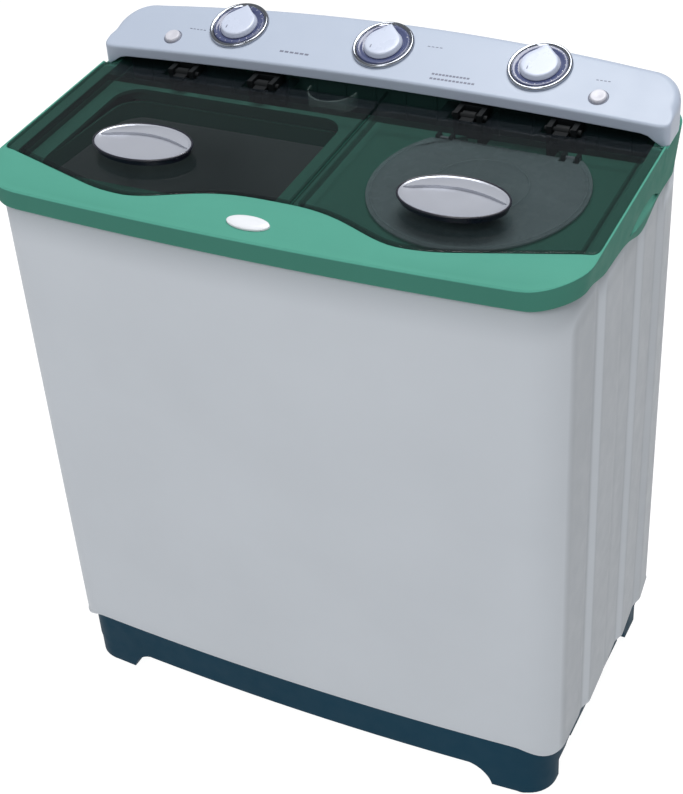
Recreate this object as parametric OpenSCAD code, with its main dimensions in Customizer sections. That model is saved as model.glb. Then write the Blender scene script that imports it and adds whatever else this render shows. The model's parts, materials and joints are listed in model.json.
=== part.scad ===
// Twin tub washing machine: a wash tub on the left, a spin basket on the right, one cabinet around both.
// X is to the right, Y to the back, Z up. The origin is on the floor, under the middle of the machine.

/* [Cabinet] */
// Width of the cabinet walls
cab_w = 780; // [760:5:800]
// Depth of the cabinet walls at their sides
cab_d = 422; // [416:2:440]
// Radius of the two front upright corners
corner_r = 55; // [40:5:60]
// How far the middle of the front stands ahead of its ends
front_bow = 15; // [6:1:18]
// Wall thickness of the moulded cabinet
wall = 3; // [2.5:0.5:4]
// Height of the cabinet's lower edge at the sides
cab_low = 84; // [80:1:90]
// Height of the cabinet's lower edge at the front
cab_low_front = 106; // [100:1:108]
// Height of the cabinet's upper edge
cab_top = 812; // [808:1:814]

/* [Base] */
// How far the base is set in from the cabinet's faces
base_inset = 11; // [8:1:14]
// Height of the skirt's lower edge between the feet
skirt_z = 38; // [34:1:42]
// Half width of the arch between the front feet
arch_half = 300; // [280:5:305]

/* [Lids] */
// Height of the lids' top plane over the middle of the machine
lid_z = 865.1; // [862:0.1:868]
// Slope of the lids, down to the front
lid_slope = 4.6; // [3:0.1:6]
// Half width of the lids and of the top frame
top_half = 407; // [405:1:410]
// Thickness of a lid plate
lid_t = 4; // [3:0.5:5]
// Distance in front of the middle where the lids' front edge is furthest back
lid_mid = 156; // [150:1:160]
// Distance from the middle line to the front lobe of each lid
lobe_x = 188; // [180:1:196]
// How far each lobe comes forward
lobe_depth = 43; // [36:1:46]
// How far the outer front corner of each lid reaches ahead of its front edge
lid_horn = 11; // [6:1:12]
// How far the lids open
lid_open = 95; // [90:1:96]

/* [Console] */
// Tilt of the control panel
con_tilt = 22; // [20:1:24]
// Height of the panel's lower edge at its middle
con_z = 899; // [897:1:901]
// Distance behind the middle of the panel's lower edge
con_y = 114; // [112:1:116]
// Length of the panel up its slope
con_len = 107; // [104:1:109]
// Distance between neighbouring knobs
knob_pitch = 219; // [216:1:222]
// Radius of the chrome ring around each knob
bezel_r = 42.5; // [41:0.5:43]

/* [Tubs] */
// Radius of the spin basket
basket_r = 138; // [130:1:140]
// Middle of the spin basket to the right of the machine's middle line
spin_x = 212; // [210:1:214]
// Middle of the wash tub to the left of the machine's middle line
wash_x = 190; // [186:1:192]
// Radius of the wash disc
pulsator_r = 105; // [95:1:110]

/* [Hidden] */
$fn = 48;

big = 1200;
tiny = 0.01;
mid_x = 25;              // the gap between the two lids
lid_gap = 3;
horn_x = 386;            // where the lids' front corners start to reach ahead
hinge_y = 100;           // lid hinge axis
pin_r = 4;
run = 0.05;              // running clearance of a shaft in its bore
hinge_xs = [150, 275];   // hinge places, from the middle line
basin_z = -24;           // top of the frame's deck, from the lids' top plane
deck_t = 5;
trough_z = -42;          // floor of the trough under the lids' tails
fascia_y = 134;          // upright wall under the console
rear_y = 214;            // back of the top frame, and the radius of its rear corners
rear_r = 60;
spin_y = -26;
wash_y = -33;
tub_floor = 306;
case_r = 160;
case_floor = 214;
motor_x = -70;           // wash motor
motor_y = 120;
pulley_r = 86;
small_pulley_r = 22;
belt_z = 150;
rear_reach = cab_d / 2 + front_bow + 8;   // the spouts reach as far back as the front comes forward
band_out = 8;            // how far the top frame's front stands ahead of the cabinet
handle_x = 214;
handle_y = -103;
handle_a = 71;
handle_b = 44.5;
button_x = 308;
button_up = 20;
button_r = 11;
spout_x = -300;          // drain spout and cord gland
drain_z = 68;
gland_z = 128;
inlet_x = -110;
inlet_z = 890;
sump_x = -50;            // drain in the wash tub's floor
sump_y = 20;
seat_z = -6;             // where the lids and the console meet the frame
knob_up = 56;
inner_r = 137;
inner_hinge_y = 66;
inner_z = -19;

// Points along an arc
function arc(cx, cy, r, a0, a1, n) =
    [for (i = [0:n]) let (a = a0 + (a1 - a0) * i / n) [cx + r * cos(a), cy + r * sin(a)]];
function mirrored(pts) = [for (i = [len(pts) - 1:-1:0]) [-pts[i][0], pts[i][1]]];
function ellipse(cx, cy, a, b, n = 64) =
    [for (i = [0:n - 1]) [cx + a * cos(360 * i / n), cy + b * sin(360 * i / n)]];
// Front line of the plan: furthest forward in the middle
function front_y(x, hw, yf) = yf - front_bow * (1 - pow(x / hw, 2));
// Right half of a plan with a bowed front, round front corners and small rear corners
function half_plan(hw, yf, yb, r, rb) =
    let (s = atan(2 * front_bow * (hw - r) / (hw * hw)),
         xt = hw - r + r * sin(s),
         cy = front_y(xt, hw, yf) + r * cos(s))
    concat([for (i = [0:8]) [xt * i / 8, front_y(xt * i / 8, hw, yf)]],
           arc(hw - r, cy, r, -90 + s, 0, 10),
           arc(hw - rb, yb - rb, rb, 0, 90, 5));
function plan(hw, yf, yb, r, rb) =
    let (h = half_plan(hw, yf, yb, r, rb)) concat(h, [for (p = mirrored(h)) if (p[0] < -tiny) p]);
function cabinet_plan(grow) =
    plan(cab_w / 2 + grow, -cab_d / 2 - grow, cab_d / 2 + min(grow, 0), corner_r + grow, 8);
function frame_plan(grow) =
    plan(top_half + grow, -cab_d / 2 - band_out - grow, rear_y + grow, 62 + grow, rear_r);

// Front edge of the lids: a wave with one lobe on each side, and a small horn at each outer corner
function lid_front(x) =
    let (u = abs(x), v = u - lobe_x, blend = 62, slope = 0.303, w = (u - horn_x) / (404 - horn_x))
    u < lobe_x
        ? -lid_mid - lobe_depth * (1 - cos(180 * pow(u / lobe_x, 1.5))) / 2
        : -lid_mid - lobe_depth + slope * (v < blend ? v * v / (2 * blend) : v - blend / 2)
            - lid_horn * pow(min(max(w, 0), 1), 2);
function lid_front_pts(x0, x1, n, back) = [for (i = [0:n]) let (x = x0 + (x1 - x0) * i / n) [x, lid_front(x) + back]];

// Frames of reference
module on_lids() { translate([0, 0, lid_z]) rotate([lid_slope, 0, 0]) children(); }
module on_console() { translate([0, con_y, con_z]) rotate([con_tilt, 0, 0]) children(); }
module along_x(x0, x1, y, z, r) { translate([x0, y, z]) rotate([0, 90, 0]) cylinder(r = r, h = x1 - x0); }
module along_y(y0, y1, x, z, r) { translate([x, y0, z]) rotate([-90, 0, 0]) cylinder(r = r, h = y1 - y0); }
module block(x0, x1, y0, y1, z0, z1) { translate([x0, y0, z0]) cube([x1 - x0, y1 - y0, z1 - z0]); }
module both_sides() { children(); mirror([1, 0, 0]) children(); }
module rounded(x0, x1, y0, y1, r) {
    translate([x0 + r, y0]) square([x1 - x0 - 2 * r, y1 - y0]);
    translate([x0, y0 + r]) square([x1 - x0, y1 - y0 - 2 * r]);
    for (x = [x0 + r, x1 - r], y = [y0 + r, y1 - r]) translate([x, y]) circle(r = r);
}
module above_lids(z) { on_lids() translate([-big / 2, -big / 2, z]) cube([big, big, big]); }

// ---- Base ----
module foot_block() {
    for (y = [[-260, -150], [135, 260]])
        block(arch_half - 45, 400, y[0], y[1], 4, skirt_z + 2);
}
module base() {
    front_z = cab_low_front + 6;
    color([0.11, 0.24, 0.29]) difference() {
        union() {
            difference() {
                translate([0, 0, skirt_z]) linear_extrude(front_z - skirt_z) polygon(cabinet_plan(-base_inset));
                translate([0, 0, skirt_z + 6]) linear_extrude(big) polygon(cabinet_plan(-base_inset - 4));
            }
            // Ledge that the cabinet's inner faces stand against
            difference() {
                translate([0, 0, front_z - 5]) linear_extrude(5) polygon(cabinet_plan(-wall));
                translate([0, 0, front_z - 6]) linear_extrude(7) polygon(cabinet_plan(-base_inset - 4));
            }
            intersection() {
                both_sides() foot_block();
                translate([0, 0, 4]) linear_extrude(skirt_z) polygon(cabinet_plan(-base_inset - 1));
            }
        }
        // Arched inner edges of the feet
        both_sides() along_y(-300, 300, arch_half - 45, -7, 45);
        // Service openings under the two drives
        translate([-wash_x, wash_y, 0]) cylinder(r = 90, h = 60);
        translate([spin_x, spin_y, 0]) cylinder(r = 60, h = 60);
        for (i = [-3:3]) block(i * 14 - 3, i * 14 + 3, -120, 60, 0, 60);
        along_y(150, 250, spout_x, drain_z, 17);
    }
}
module foot_pads() {
    color([0.08, 0.08, 0.09]) both_sides() for (y = [-180, 170]) translate([338, y, 0]) {
        cylinder(r = 20, h = 4);
        translate([0, 0, 3]) cylinder(r = 7, h = 1);
    }
}

// ---- Cabinet ----
rib_ys = [-131, -90, -70, 10, 42, 109, 144];
module cabinet() {
    color([0.72, 0.74, 0.77]) difference() {
        union() {
            difference() {
                translate([0, 0, cab_low]) linear_extrude(cab_top - cab_low) polygon(cabinet_plan(0));
                translate([0, 0, cab_low - 1]) linear_extrude(big) polygon(cabinet_plan(-wall));
            }
            both_sides() for (y = rib_ys) block(cab_w / 2 - 1, cab_w / 2 + 2.5, y - 3, y + 3, cab_low, 780);
            // Corner plates under the frame's rounder rear corners
            both_sides() intersection() {
                translate([0, 0, 799]) linear_extrude(3.5) polygon(cabinet_plan(-1));
                block(346, 400, 160, 260, 790, 803);
            }
            // Screw bosses behind the rear flanges
            both_sides() for (z = [140, 450, 760]) block(350, 388, 190, 203, z - 10, z + 10);
        }
        block(-345, 345, 180, 260, 0, big);
        block(-400, 400, -260, -cab_d / 2 + corner_r - 12, 0, cab_low_front);
        both_sides() for (z = [140, 450, 760]) along_y(185, 215, 362, z, 2);
    }
}
module back_cover() {
    color([0.66, 0.68, 0.71]) difference() {
        union() {
            block(-344.5, 344.5, cab_d / 2 - wall, cab_d / 2, cab_low + 2, 802.5);
            both_sides() for (z = [140, 450, 760]) block(340, 372, cab_d / 2, cab_d / 2 + 2, z - 12, z + 12);
            block(-300, 300, 196, cab_d / 2 - wall, 230, 240);
            block(-300, 300, 196, cab_d / 2 - wall, 600, 610);
        }
        both_sides() for (z = [140, 450, 760]) along_y(185, 215, 362, z, 2.6);
        for (x = [-230:40:250], z = [130:14:200]) block(x - 15, x + 15, 190, 230, z, z + 5);
        along_y(190, 230, spout_x, gland_z, 9);
    }
}
module screws() {
    color([0.55, 0.56, 0.58]) {
        both_sides() for (z = [140, 450, 760]) {
            along_y(197, cab_d / 2 + 2, 362, z, 1.9);
            along_y(cab_d / 2 + 2, cab_d / 2 + 4.5, 362, z, 4);
        }
        both_sides() {
            along_x(388, 398, -99, 826, 2);
            along_x(398, 400.5, -99, 826, 4);
        }
    }
}

// ---- Top frame ----
module side_scoop(depth) {
    translate([top_half - depth, 0, 0]) rotate([90, 0, 90]) linear_extrude(depth + 20) intersection() {
        translate([40, 804 + 176]) circle(r = 186, $fn = 180);
        translate([40, 804 - 176]) circle(r = 186, $fn = 180);
    }
}
module top_frame() {
    color([0.40, 0.66, 0.58]) difference() {
        union() {
            difference() {
                intersection() {
                    translate([0, 0, 803]) linear_extrude(120) polygon(frame_plan(0));
                    union() {
                        block(-420, 420, -165, 300, 803, 990);
                        block(-420, 420, -300, -165, 811, 990);
                    }
                }
                above_lids(seat_z);
                // The basin inside, over its deck
                on_lids() translate([0, 0, basin_z]) linear_extrude(100) polygon(concat(
                    lid_front_pts(-388, 388, 24, 5),
                    [[388, fascia_y + 8], [-388, fascia_y + 8]]));
                on_lids() translate([0, 0, -150]) linear_extrude(150 + basin_z - deck_t) polygon(cabinet_plan(-wall - 4));
            }
            // Nose in front of the lids, flush with them
            difference() {
                intersection() {
                    translate([0, 0, 811]) linear_extrude(120) polygon(frame_plan(0));
                    on_lids() translate([0, 0, -40]) linear_extrude(40) polygon(concat(
                        [[420, -300], [-420, -300]], lid_front_pts(-420, 420, 48, -1.5)));
                }
                translate([0, -cab_d / 2 - front_bow - band_out, 839]) rotate([12, 0, 0])
                    translate([-big / 2, -big / 2, 0]) cube([big, big, big]);
                on_lids() translate([0, 0, -150]) linear_extrude(150 + basin_z - deck_t)
                    polygon(cabinet_plan(-wall - 4));
            }
            // Belly under the carrying scoops, outside the cabinet
            both_sides() intersection() {
                translate([cab_w / 2, 0, 0]) rotate([90, 0, 90]) linear_extrude(10) difference() {
                    translate([38, 786 + 330]) circle(r = 330, $fn = 240);
                    translate([-400, 803.5]) square([900, 900]);
                }
                block(0, 500, -110, 130, 700, 810);
            }
            // Trough for the lids' tails, and the two collars that hold the tubs
            on_lids() block(-387, 387, 84, fascia_y + 12, trough_z - 4, basin_z);
            translate([spin_x, spin_y, 812]) cylinder(r = 137, h = 20, $fn = 120);
            translate([0, 0, 804]) linear_extrude(24) rounded(-366, -12, -152, 84, 38);
        }
        on_lids() block(-384, 384, 88, fascia_y + 8, trough_z, 10);
        // Cabinet's wall stands in a groove
        translate([0, 0, 700]) linear_extrude(cab_top - 700) difference() {
            polygon(cabinet_plan(0));
            polygon(cabinet_plan(-wall));
        }
        both_sides() for (y = rib_ys) block(cab_w / 2 - 1, cab_w / 2 + 2.5, y - 3, y + 3, 700, 780);
        // Mouths of the two tubs
        translate([spin_x, spin_y, 700]) cylinder(r = 131, h = 300, $fn = 120);
        translate([0, 0, 700]) linear_extrude(300) rounded(-362, -16, -148, 80, 34);
        // Seat of the inner lid
        on_lids() translate([spin_x, spin_y, basin_z]) cylinder(r = inner_r + 3, h = 60, $fn = 120);
        both_sides() side_scoop(12);
        both_sides() along_x(386, 400.5, -99, 826, 2);
        both_sides() along_x(398, 420, -99, 826, 4.2);
        on_lids() translate([0, 0, basin_z - deck_t - 200]) linear_extrude(200 - 13)
            polygon([[-380, 150], [380, 150], [380, 190], [-380, 190]]);
    }
}
module badge() {
    color([0.93, 0.93, 0.94]) difference() {
        translate([-4, -208, 840]) rotate([12, 0, 0]) linear_extrude(9.5) polygon(ellipse(0, 0, 29, 11));
        translate([0, -cab_d / 2 - front_bow - band_out, 839]) rotate([12, 0, 0])
            translate([-big / 2, -big / 2, -big]) cube([big, big, big]);
    }
}

// ---- Tubs ----
module wash_tub() {
    color([0.80, 0.84, 0.83]) difference() {
        union() {
            translate([0, 0, tub_floor - 6]) linear_extrude(804 - tub_floor + 6) rounded(-366, -12, -152, 84, 38);
            translate([0, 0, 798]) linear_extrude(6) rounded(-376, -2, -162, 90, 44);
        }
        translate([0, 0, tub_floor]) linear_extrude(big) rounded(-362, -16, -148, 80, 34);
        translate([-wash_x, wash_y, 0]) cylinder(r = 14, h = big);
        translate([sump_x, sump_y, 0]) cylinder(r = 22, h = big);
    }
}
module spin_case() {
    color([0.78, 0.82, 0.82]) difference() {
        translate([spin_x, spin_y, case_floor - 5]) cylinder(r = case_r, h = 812 - case_floor + 5, $fn = 120);
        translate([spin_x, spin_y, case_floor]) cylinder(r = case_r - 4, h = 812 - case_floor - 5, $fn = 120);
        translate([spin_x, spin_y, 780]) cylinder(r = 137, h = 60, $fn = 120);
        translate([spin_x, spin_y, 100]) cylinder(r = 30, h = 200);
    }
}

// ---- Console ----
function con_front(x) = con_y - 12 * pow(x / 390, 2);
function con_back(x) = con_y + con_len * cos(con_tilt) - 26 * pow(x / 390, 2);
function console_plan(grow) =
    let (hw = top_half + grow, r = 48 + grow, xt = hw - r, cy = con_back(xt) + grow - r)
    let (h = concat([for (i = [0:8]) [xt * i / 8, con_front(xt * i / 8) - grow]],
                    [[hw - 18, con_front(hw - 18) - grow], [hw, con_front(hw) + 8 - grow]],
                    arc(hw - r, cy, r, 0, 86, 10),
                    [for (i = [7:-1:0]) [xt * i / 8, con_back(xt * i / 8) + grow]]))
    concat(h, [for (p = mirrored(h)) if (p[0] < -tiny) p]);
module below_panel(drop) { on_console() translate([-big / 2, -big / 2, -big - drop]) cube([big, big, big]); }
module console() {
    color([0.80, 0.84, 0.91]) difference() {
        intersection() {
            translate([0, 0, 820]) linear_extrude(160) polygon(console_plan(0));
            below_panel(0);
        }
        // Open underneath, and inside
        intersection() {
            translate([0, 0, 800]) linear_extrude(200) difference() {
                polygon(console_plan(-3));
                translate([-500, fascia_y]) square([1000, 3]);
                for (s = [-1, 1]) translate([s * 399 - 8, 90]) square([16, 60]);
            }
            below_panel(3);
        }
        block(-390, 390, 40, fascia_y, 800, 885);
        along_y(120, 150, inlet_x, inlet_z, 10.2);
        on_lids() translate([-big / 2, -big / 2, -big + seat_z]) cube([big, big, big]);
        // Open back for its own cover
        block(-340, 340, 180, 260, 800, 990);
        on_console() {
            for (i = [-1:1]) translate([i * knob_pitch, knob_up, -50]) cylinder(r = 9, h = 60);
            for (s = [-1, 1]) translate([s * button_x, button_up, 0]) {
                translate([0, 0, -50]) cylinder(r = button_r + 0.4, h = 60);
                translate([0, 0, -18]) cylinder(r = button_r + 3, h = 15);
            }
        }
    }
    // Top edge of the back, kept above its cover
    color([0.80, 0.84, 0.91]) intersection() {
        translate([0, 0, 820]) linear_extrude(160) difference() {
            polygon(console_plan(0));
            translate([-500, 0]) square([1000, 179]);
            for (s = [-1, 1]) translate([s * 430 - 90, 0]) square([180, 400]);
        }
        difference() { below_panel(0); below_panel(3); }
    }
}
module console_back() {
    color([0.74, 0.78, 0.85]) difference() {
        intersection() {
            translate([0, 0, 820]) linear_extrude(160) difference() {
                polygon(console_plan(0));
                polygon(console_plan(-3));
                translate([-500, 0]) square([1000, 160]);
                for (s = [-1, 1]) translate([s * 430 - 90 - tiny, 0]) square([180, 400]);
            }
            below_panel(3);
        }
        on_lids() translate([-big / 2, -big / 2, -big + seat_z]) cube([big, big, big]);
        along_y(150, 260, inlet_x, inlet_z, 12.5);
        for (i = [-3:3]) block(120 + i * 14 - 4, 120 + i * 14 + 4, 180, 260, 884, 904);
    }
}
module console_clips() {
    color([0.62, 0.68, 0.72]) for (x = [-235, -10, 213])
        block(x - 12, x + 12, fascia_y - 12, fascia_y, 885, 893);
}
module timer_box(x, w, h) {
    color([0.30, 0.31, 0.33]) on_console() difference() {
        translate([x, knob_up, 0]) {
            translate([-w / 2, -22, -3 - h]) cube([w, 44, h]);
        }
        translate([x, knob_up, -60]) cylinder(r = 3 + run, h = 80);
    }
}
module wash_timer() { timer_box(-knob_pitch, 50, 24); }
module mode_switch() { timer_box(0, 44, 22); }
module spin_timer() { timer_box(knob_pitch, 50, 24); }
module bezel(x) {
    color([0.75, 0.77, 0.80]) on_console() translate([x, knob_up, 0]) rotate_extrude($fn = 120)
        polygon([[36, 0], [bezel_r, 0], [bezel_r, 2], [bezel_r - 1.5, 4], [bezel_r - 4, 4], [36, 2]]);
}
module dial(x) {
    color([0.45, 0.48, 0.72]) on_console() translate([x, knob_up, 0]) rotate_extrude($fn = 120)
        polygon([[9, 0], [36, 0], [36, 4.5], [31, 6], [29.5, 2], [9, 2]]);
}
module knob(x) {
    color([0.88, 0.88, 0.93]) on_console() translate([x, knob_up, 0]) {
        translate([0, 0, -20]) cylinder(r = 3, h = 24);
        rotate_extrude($fn = 120)
            polygon([[0, 2.6], [26.5, 2.6], [26.5, 4], [24.5, 8.5], [23, 9.5], [0, 9.5]]);
        translate([0, 0, 6.4]) linear_extrude(2.6) polygon([[-9, 21], [0, 33.5], [9, 21]]);
    }
}
module wash_bezel() { bezel(-knob_pitch); }
module mode_bezel() { bezel(0); }
module spin_bezel() { bezel(knob_pitch); }
module wash_dial() { dial(-knob_pitch); }
module mode_dial() { dial(0); }
module spin_dial() { dial(knob_pitch); }
module wash_knob() { knob(-knob_pitch); }
module mode_knob() { knob(0); }
module spin_knob() { knob(knob_pitch); }
module push_button(x) {
    color([0.84, 0.84, 0.88]) on_console() translate([x, button_up, 0]) rotate_extrude($fn = 96)
        polygon([[0, -8], [button_r + 1.5, -8], [button_r + 1.5, -6.5], [button_r, -6.5], [button_r, 3],
                 [button_r - 2, 5], [0, 5.5]]);
}
module left_button() { push_button(-button_x); }
module right_button() { push_button(button_x); }

// ---- Wash drive ----
module pulsator() {
    color([0.86, 0.88, 0.90]) translate([-wash_x, wash_y, tub_floor]) difference() {
        union() {
            translate([0, 0, 4]) rotate_extrude($fn = 120)
                polygon([[0, 0], [pulsator_r - 4, 0], [pulsator_r, 4], [pulsator_r - 3, 8],
                         [60, 12], [30, 22], [14, 26], [0, 26]]);
            for (a = [0:60:300]) rotate([0, 0, a]) translate([20, -5, 8]) cube([72, 10, 14]);
        }
        translate([0, 0, -1]) cylinder(r = 8, h = 22);
        translate([0, 0, 20]) cylinder(r = 3, h = 20);
        translate([0, 0, 26]) cylinder(r = 7, h = 20);
    }
}
module pulsator_screw() {
    color([0.6, 0.6, 0.62]) translate([-wash_x, wash_y, tub_floor]) {
        translate([0, 0, 21]) cylinder(r = 3, h = 5.5);
        translate([0, 0, 26]) cylinder(r = 6.5, h = 3);
    }
}
module wash_bearing() {
    color([0.45, 0.46, 0.48]) translate([-wash_x, wash_y, 0]) difference() {
        union() {
            translate([0, 0, belt_z + 30]) cylinder(r = 40, h = tub_floor - 6 - belt_z - 30);
            translate([0, 0, tub_floor - 16]) cylinder(r = 62, h = 10);
            translate([0, 0, tub_floor - 6.5]) cylinder(r = 14, h = 8.5);
        }
        cylinder(r = 8 + run, h = 400);
    }
}
module wash_shaft() {
    color([0.7, 0.7, 0.72]) translate([-wash_x, wash_y, 0]) {
        translate([0, 0, belt_z - 14]) cylinder(r = 8, h = tub_floor + 20.5 - belt_z + 14);
    }
}
module pulley(r, h, bore) {
    rotate_extrude($fn = 120)
        polygon([[bore, 0], [r, 0], [r, 2], [r - 6, h / 2], [r, h - 2], [r, h], [bore, h]]);
}
module wash_pulley() {
    color([0.35, 0.36, 0.38]) translate([-wash_x, wash_y, belt_z - 8]) difference() {
        pulley(pulley_r, 16, 8);
        for (a = [0:72:288]) rotate([0, 0, a]) translate([46, 0, -1]) cylinder(r = 15, h = 20);
    }
}
function belt_angle() = atan2(motor_y - wash_y, motor_x + wash_x);
function belt_length() = norm([motor_y - wash_y, motor_x + wash_x]);
module belt_outline(extra) {
    lean = acos((pulley_r - small_pulley_r) / belt_length());
    r1 = pulley_r - 2.4 + extra;
    r2 = small_pulley_r - 2.4 + extra;
    polygon(concat(arc(0, 0, r1, lean, 360 - lean, 40), arc(belt_length(), 0, r2, -lean, lean, 16)));
}
module drive_belt() {
    color([0.10, 0.10, 0.11]) translate([-wash_x, wash_y, belt_z - 1.5]) rotate([0, 0, belt_angle()])
        linear_extrude(3) difference() { belt_outline(6); belt_outline(0); }
}
module motor_pulley() {
    color([0.5, 0.5, 0.52]) translate([motor_x, motor_y, 0]) {
        translate([0, 0, belt_z - 8]) pulley(small_pulley_r, 16, 5);
        translate([0, 0, belt_z - 12]) cylinder(r = 5, h = 62);
    }
}
module motor_can(r, z0, z1, bore) {
    difference() {
        union() {
            translate([0, 0, z0]) cylinder(r = r, h = z1 - z0);
            translate([0, 0, z0 + (z1 - z0) / 2 - 14]) cylinder(r = r + 8, h = 28);
        }
        translate([0, 0, z0 - 1]) cylinder(r = bore, h = z1 - z0 + 2);
    }
}
module wash_motor() {
    color([0.52, 0.53, 0.55]) {
        translate([motor_x, motor_y, 0]) motor_can(52, belt_z + 14, belt_z + 120, 5 + run);
        translate([0, 0, belt_z + 120]) linear_extrude(8) difference() {
            rounded(motor_x - 75, motor_x + 75, motor_y - 50, motor_y + 60, 10);
            translate([motor_x, motor_y]) circle(r = 12);
        }
        for (x = [-62, 62]) block(motor_x + x - 8, motor_x + x + 8, motor_y + 20, motor_y + 40, 44, belt_z + 120);
    }
}

// ---- Spin drive ----
module spin_basket() {
    color([0.85, 0.87, 0.88]) translate([spin_x, spin_y, 0]) difference() {
        rotate_extrude($fn = 120) polygon([
            [0, 236], [basket_r - 12, 236], [basket_r, 250], [basket_r, 770], [basket_r - 10, 782],
            [basket_r - 18, 782], [basket_r - 18, 776], [basket_r - 12, 776], [basket_r - 3, 766],
            [basket_r - 3, 252], [basket_r - 14, 240], [0, 240]]);
        translate([0, 0, 230]) cylinder(r = 9, h = 20);
        for (z = [300:80:700], a = [0:30:330])
            rotate([0, 0, a]) translate([basket_r - 8, 0, z]) rotate([0, 90, 0]) cylinder(r = 3.5, h = 14, $fn = 16);
    }
}
module spin_shaft() {
    color([0.7, 0.7, 0.72]) translate([spin_x, spin_y, 0]) {
        translate([0, 0, 70]) cylinder(r = 9, h = 170);
        translate([0, 0, 240]) cylinder(r = 34, h = 8);
        translate([0, 0, 248]) cylinder(r = 12, h = 14);
    }
}
module brake_drum() {
    color([0.4, 0.41, 0.43]) translate([spin_x, spin_y, 186]) difference() {
        cylinder(r = 46, h = 18);
        translate([0, 0, -1]) cylinder(r = 9, h = 30);
    }
}
module brake_lever() {
    color([0.55, 0.5, 0.3]) translate([spin_x - 62, spin_y - 40, 188]) difference() {
        union() {
            cylinder(r = 8, h = 12);
            block(-5, 5, 0, 66, 0, 12);
            block(5, 14, 30, 50, 0, 12);
        }
        translate([0, 0, -1]) cylinder(r = 4 + run, h = 20);
    }
}
module spin_motor() {
    color([0.52, 0.53, 0.55]) {
        translate([spin_x, spin_y, 0]) motor_can(62, 76, 176, 9 + run);
        translate([spin_x, spin_y, 96]) for (a = [90, 210, 330]) rotate([0, 0, a]) block(60, 92, -10, 10, 0, 6);
        translate([spin_x - 62, spin_y - 40, 0]) {
            translate([0, 0, 176]) cylinder(r = 4, h = 26);
            translate([0, 0, 170]) cylinder(r = 9, h = 17);
        }
    }
}
module motor_springs() {
    color([0.2, 0.2, 0.22]) translate([spin_x, spin_y, 0]) for (a = [90, 210, 330]) rotate([0, 0, a])
        translate([82, 0, 44]) cylinder(r = 9, h = 52);
}
module shaft_seal() {
    color([0.12, 0.12, 0.13]) translate([spin_x, spin_y, 0]) rotate_extrude($fn = 96) polygon([
        [9.6, 206], [20, 206], [26, 210], [30, 208], [30, case_floor], [34, case_floor],
        [34, case_floor + 3], [26, case_floor + 3], [18, 216], [9.6, 216]]);
}

// ---- Water ----
module drain_body() {
    color([0.72, 0.76, 0.77]) difference() {
        union() {
            translate([sump_x, sump_y, 190]) cylinder(r = 24, h = tub_floor - 6 - 190);
            translate([sump_x, sump_y, tub_floor - 7]) cylinder(r = 21.9, h = 7);
            along_x(sump_x, 52, sump_y, 206, 13);
        }
        translate([sump_x, sump_y, 196]) cylinder(r = 19, h = 200);
        along_x(sump_x, 60, sump_y, 206, 10);
    }
}
module drain_plug() {
    color([0.15, 0.15, 0.17]) translate([sump_x, sump_y, 0]) {
        translate([0, 0, 230]) cylinder(r = 16, h = 8);
        translate([0, 0, 238]) cylinder(r = 5, h = 40);
    }
}
module drain_spout() {
    color([0.30, 0.32, 0.34]) difference() {
        union() {
            along_y(60, rear_reach, spout_x, drain_z, 15);
            along_y(cab_d / 2 - base_inset, cab_d / 2 - base_inset + 5, spout_x, drain_z, 17);
            along_y(60, 90, spout_x, drain_z, 20);
        }
        along_y(70, rear_reach + 1, spout_x, drain_z, 12);
    }
}
module inlet_spout() {
    color([0.75, 0.78, 0.80]) difference() {
        union() {
            along_y(fascia_y, rear_reach, inlet_x, inlet_z, 10);
            along_y(fascia_y + 3, fascia_y + 9, inlet_x, inlet_z, 14);
            along_y(208, 214, inlet_x, inlet_z, 12.4);
        }
        along_y(100, rear_reach + 1, inlet_x, inlet_z, 7);
    }
}
module fill_cup() {
    color([0.70, 0.80, 0.80]) on_lids() difference() {
        translate([-62, fascia_y, -32]) cylinder(r = 36, h = 20);
        translate([-62, fascia_y, -40]) cylinder(r = 33, h = 60);
        block(-120, 0, fascia_y, 200, -60, 10);
    }
}
module lint_filter() {
    color([0.55, 0.65, 0.68]) difference() {
        block(-255, -125, 70, 80, 420, 700);
        for (x = [-240:22:-140], z = [450:24:660]) block(x, x + 10, 60, 76, z, z + 14);
    }
}
module cord_gland() {
    color([0.10, 0.10, 0.11]) difference() {
        union() {
            along_y(cab_d / 2 - 8, rear_reach - 4, spout_x, gland_z, 8.8);
            along_y(cab_d / 2, cab_d / 2 + 3, spout_x, gland_z, 13);
        }
        along_y(190, rear_reach, spout_x, gland_z, 4);
    }
}
module capacitor() {
    color([0.85, 0.85, 0.83]) {
        translate([20, 160, 44]) cylinder(r = 20, h = 72);
        translate([20, 160, 116]) cylinder(r = 4, h = 8);
    }
}

// ---- Lids ----
module lid_outline(x0) {
    polygon(concat(
        lid_front_pts(x0, top_half - 3, 40, 1),
        [[top_half, lid_front(top_half) + 4], [top_half, hinge_y - 4], [382, hinge_y + 2], [382, 128], [x0, 128]]));
}
module lid_rim(x0, x1, back) {
    polygon(concat(lid_front_pts(x0, x1, 20, back), [[x1, 80 - back], [x0, 80 - back]]));
}
module lid_body(x0) {
    difference() {
        union() {
            translate([0, 0, -lid_t]) linear_extrude(lid_t) lid_outline(x0);
            // Stiffening rim, just inside the frame's basin
            translate([0, 0, -12]) linear_extrude(12 - lid_t + tiny) difference() {
                lid_rim(x0 + 4, 384, 9);
                lid_rim(x0 + 7, 381, 12);
            }
        }
        for (x = hinge_xs) block(x - 26, x + 26, hinge_y - 14, 140, -20, 10);
        block(-10, 108, hinge_y + 2, 140, -20, 10);
    }
    for (x = hinge_xs) {
        block(x - 9, x + 9, hinge_y - 16, hinge_y, -lid_t, 0);
        along_x(x - 9, x + 9, hinge_y, -lid_t / 2, 7);
        along_x(x - 24, x + 24, hinge_y, -lid_t / 2, pin_r);
    }
}
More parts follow.
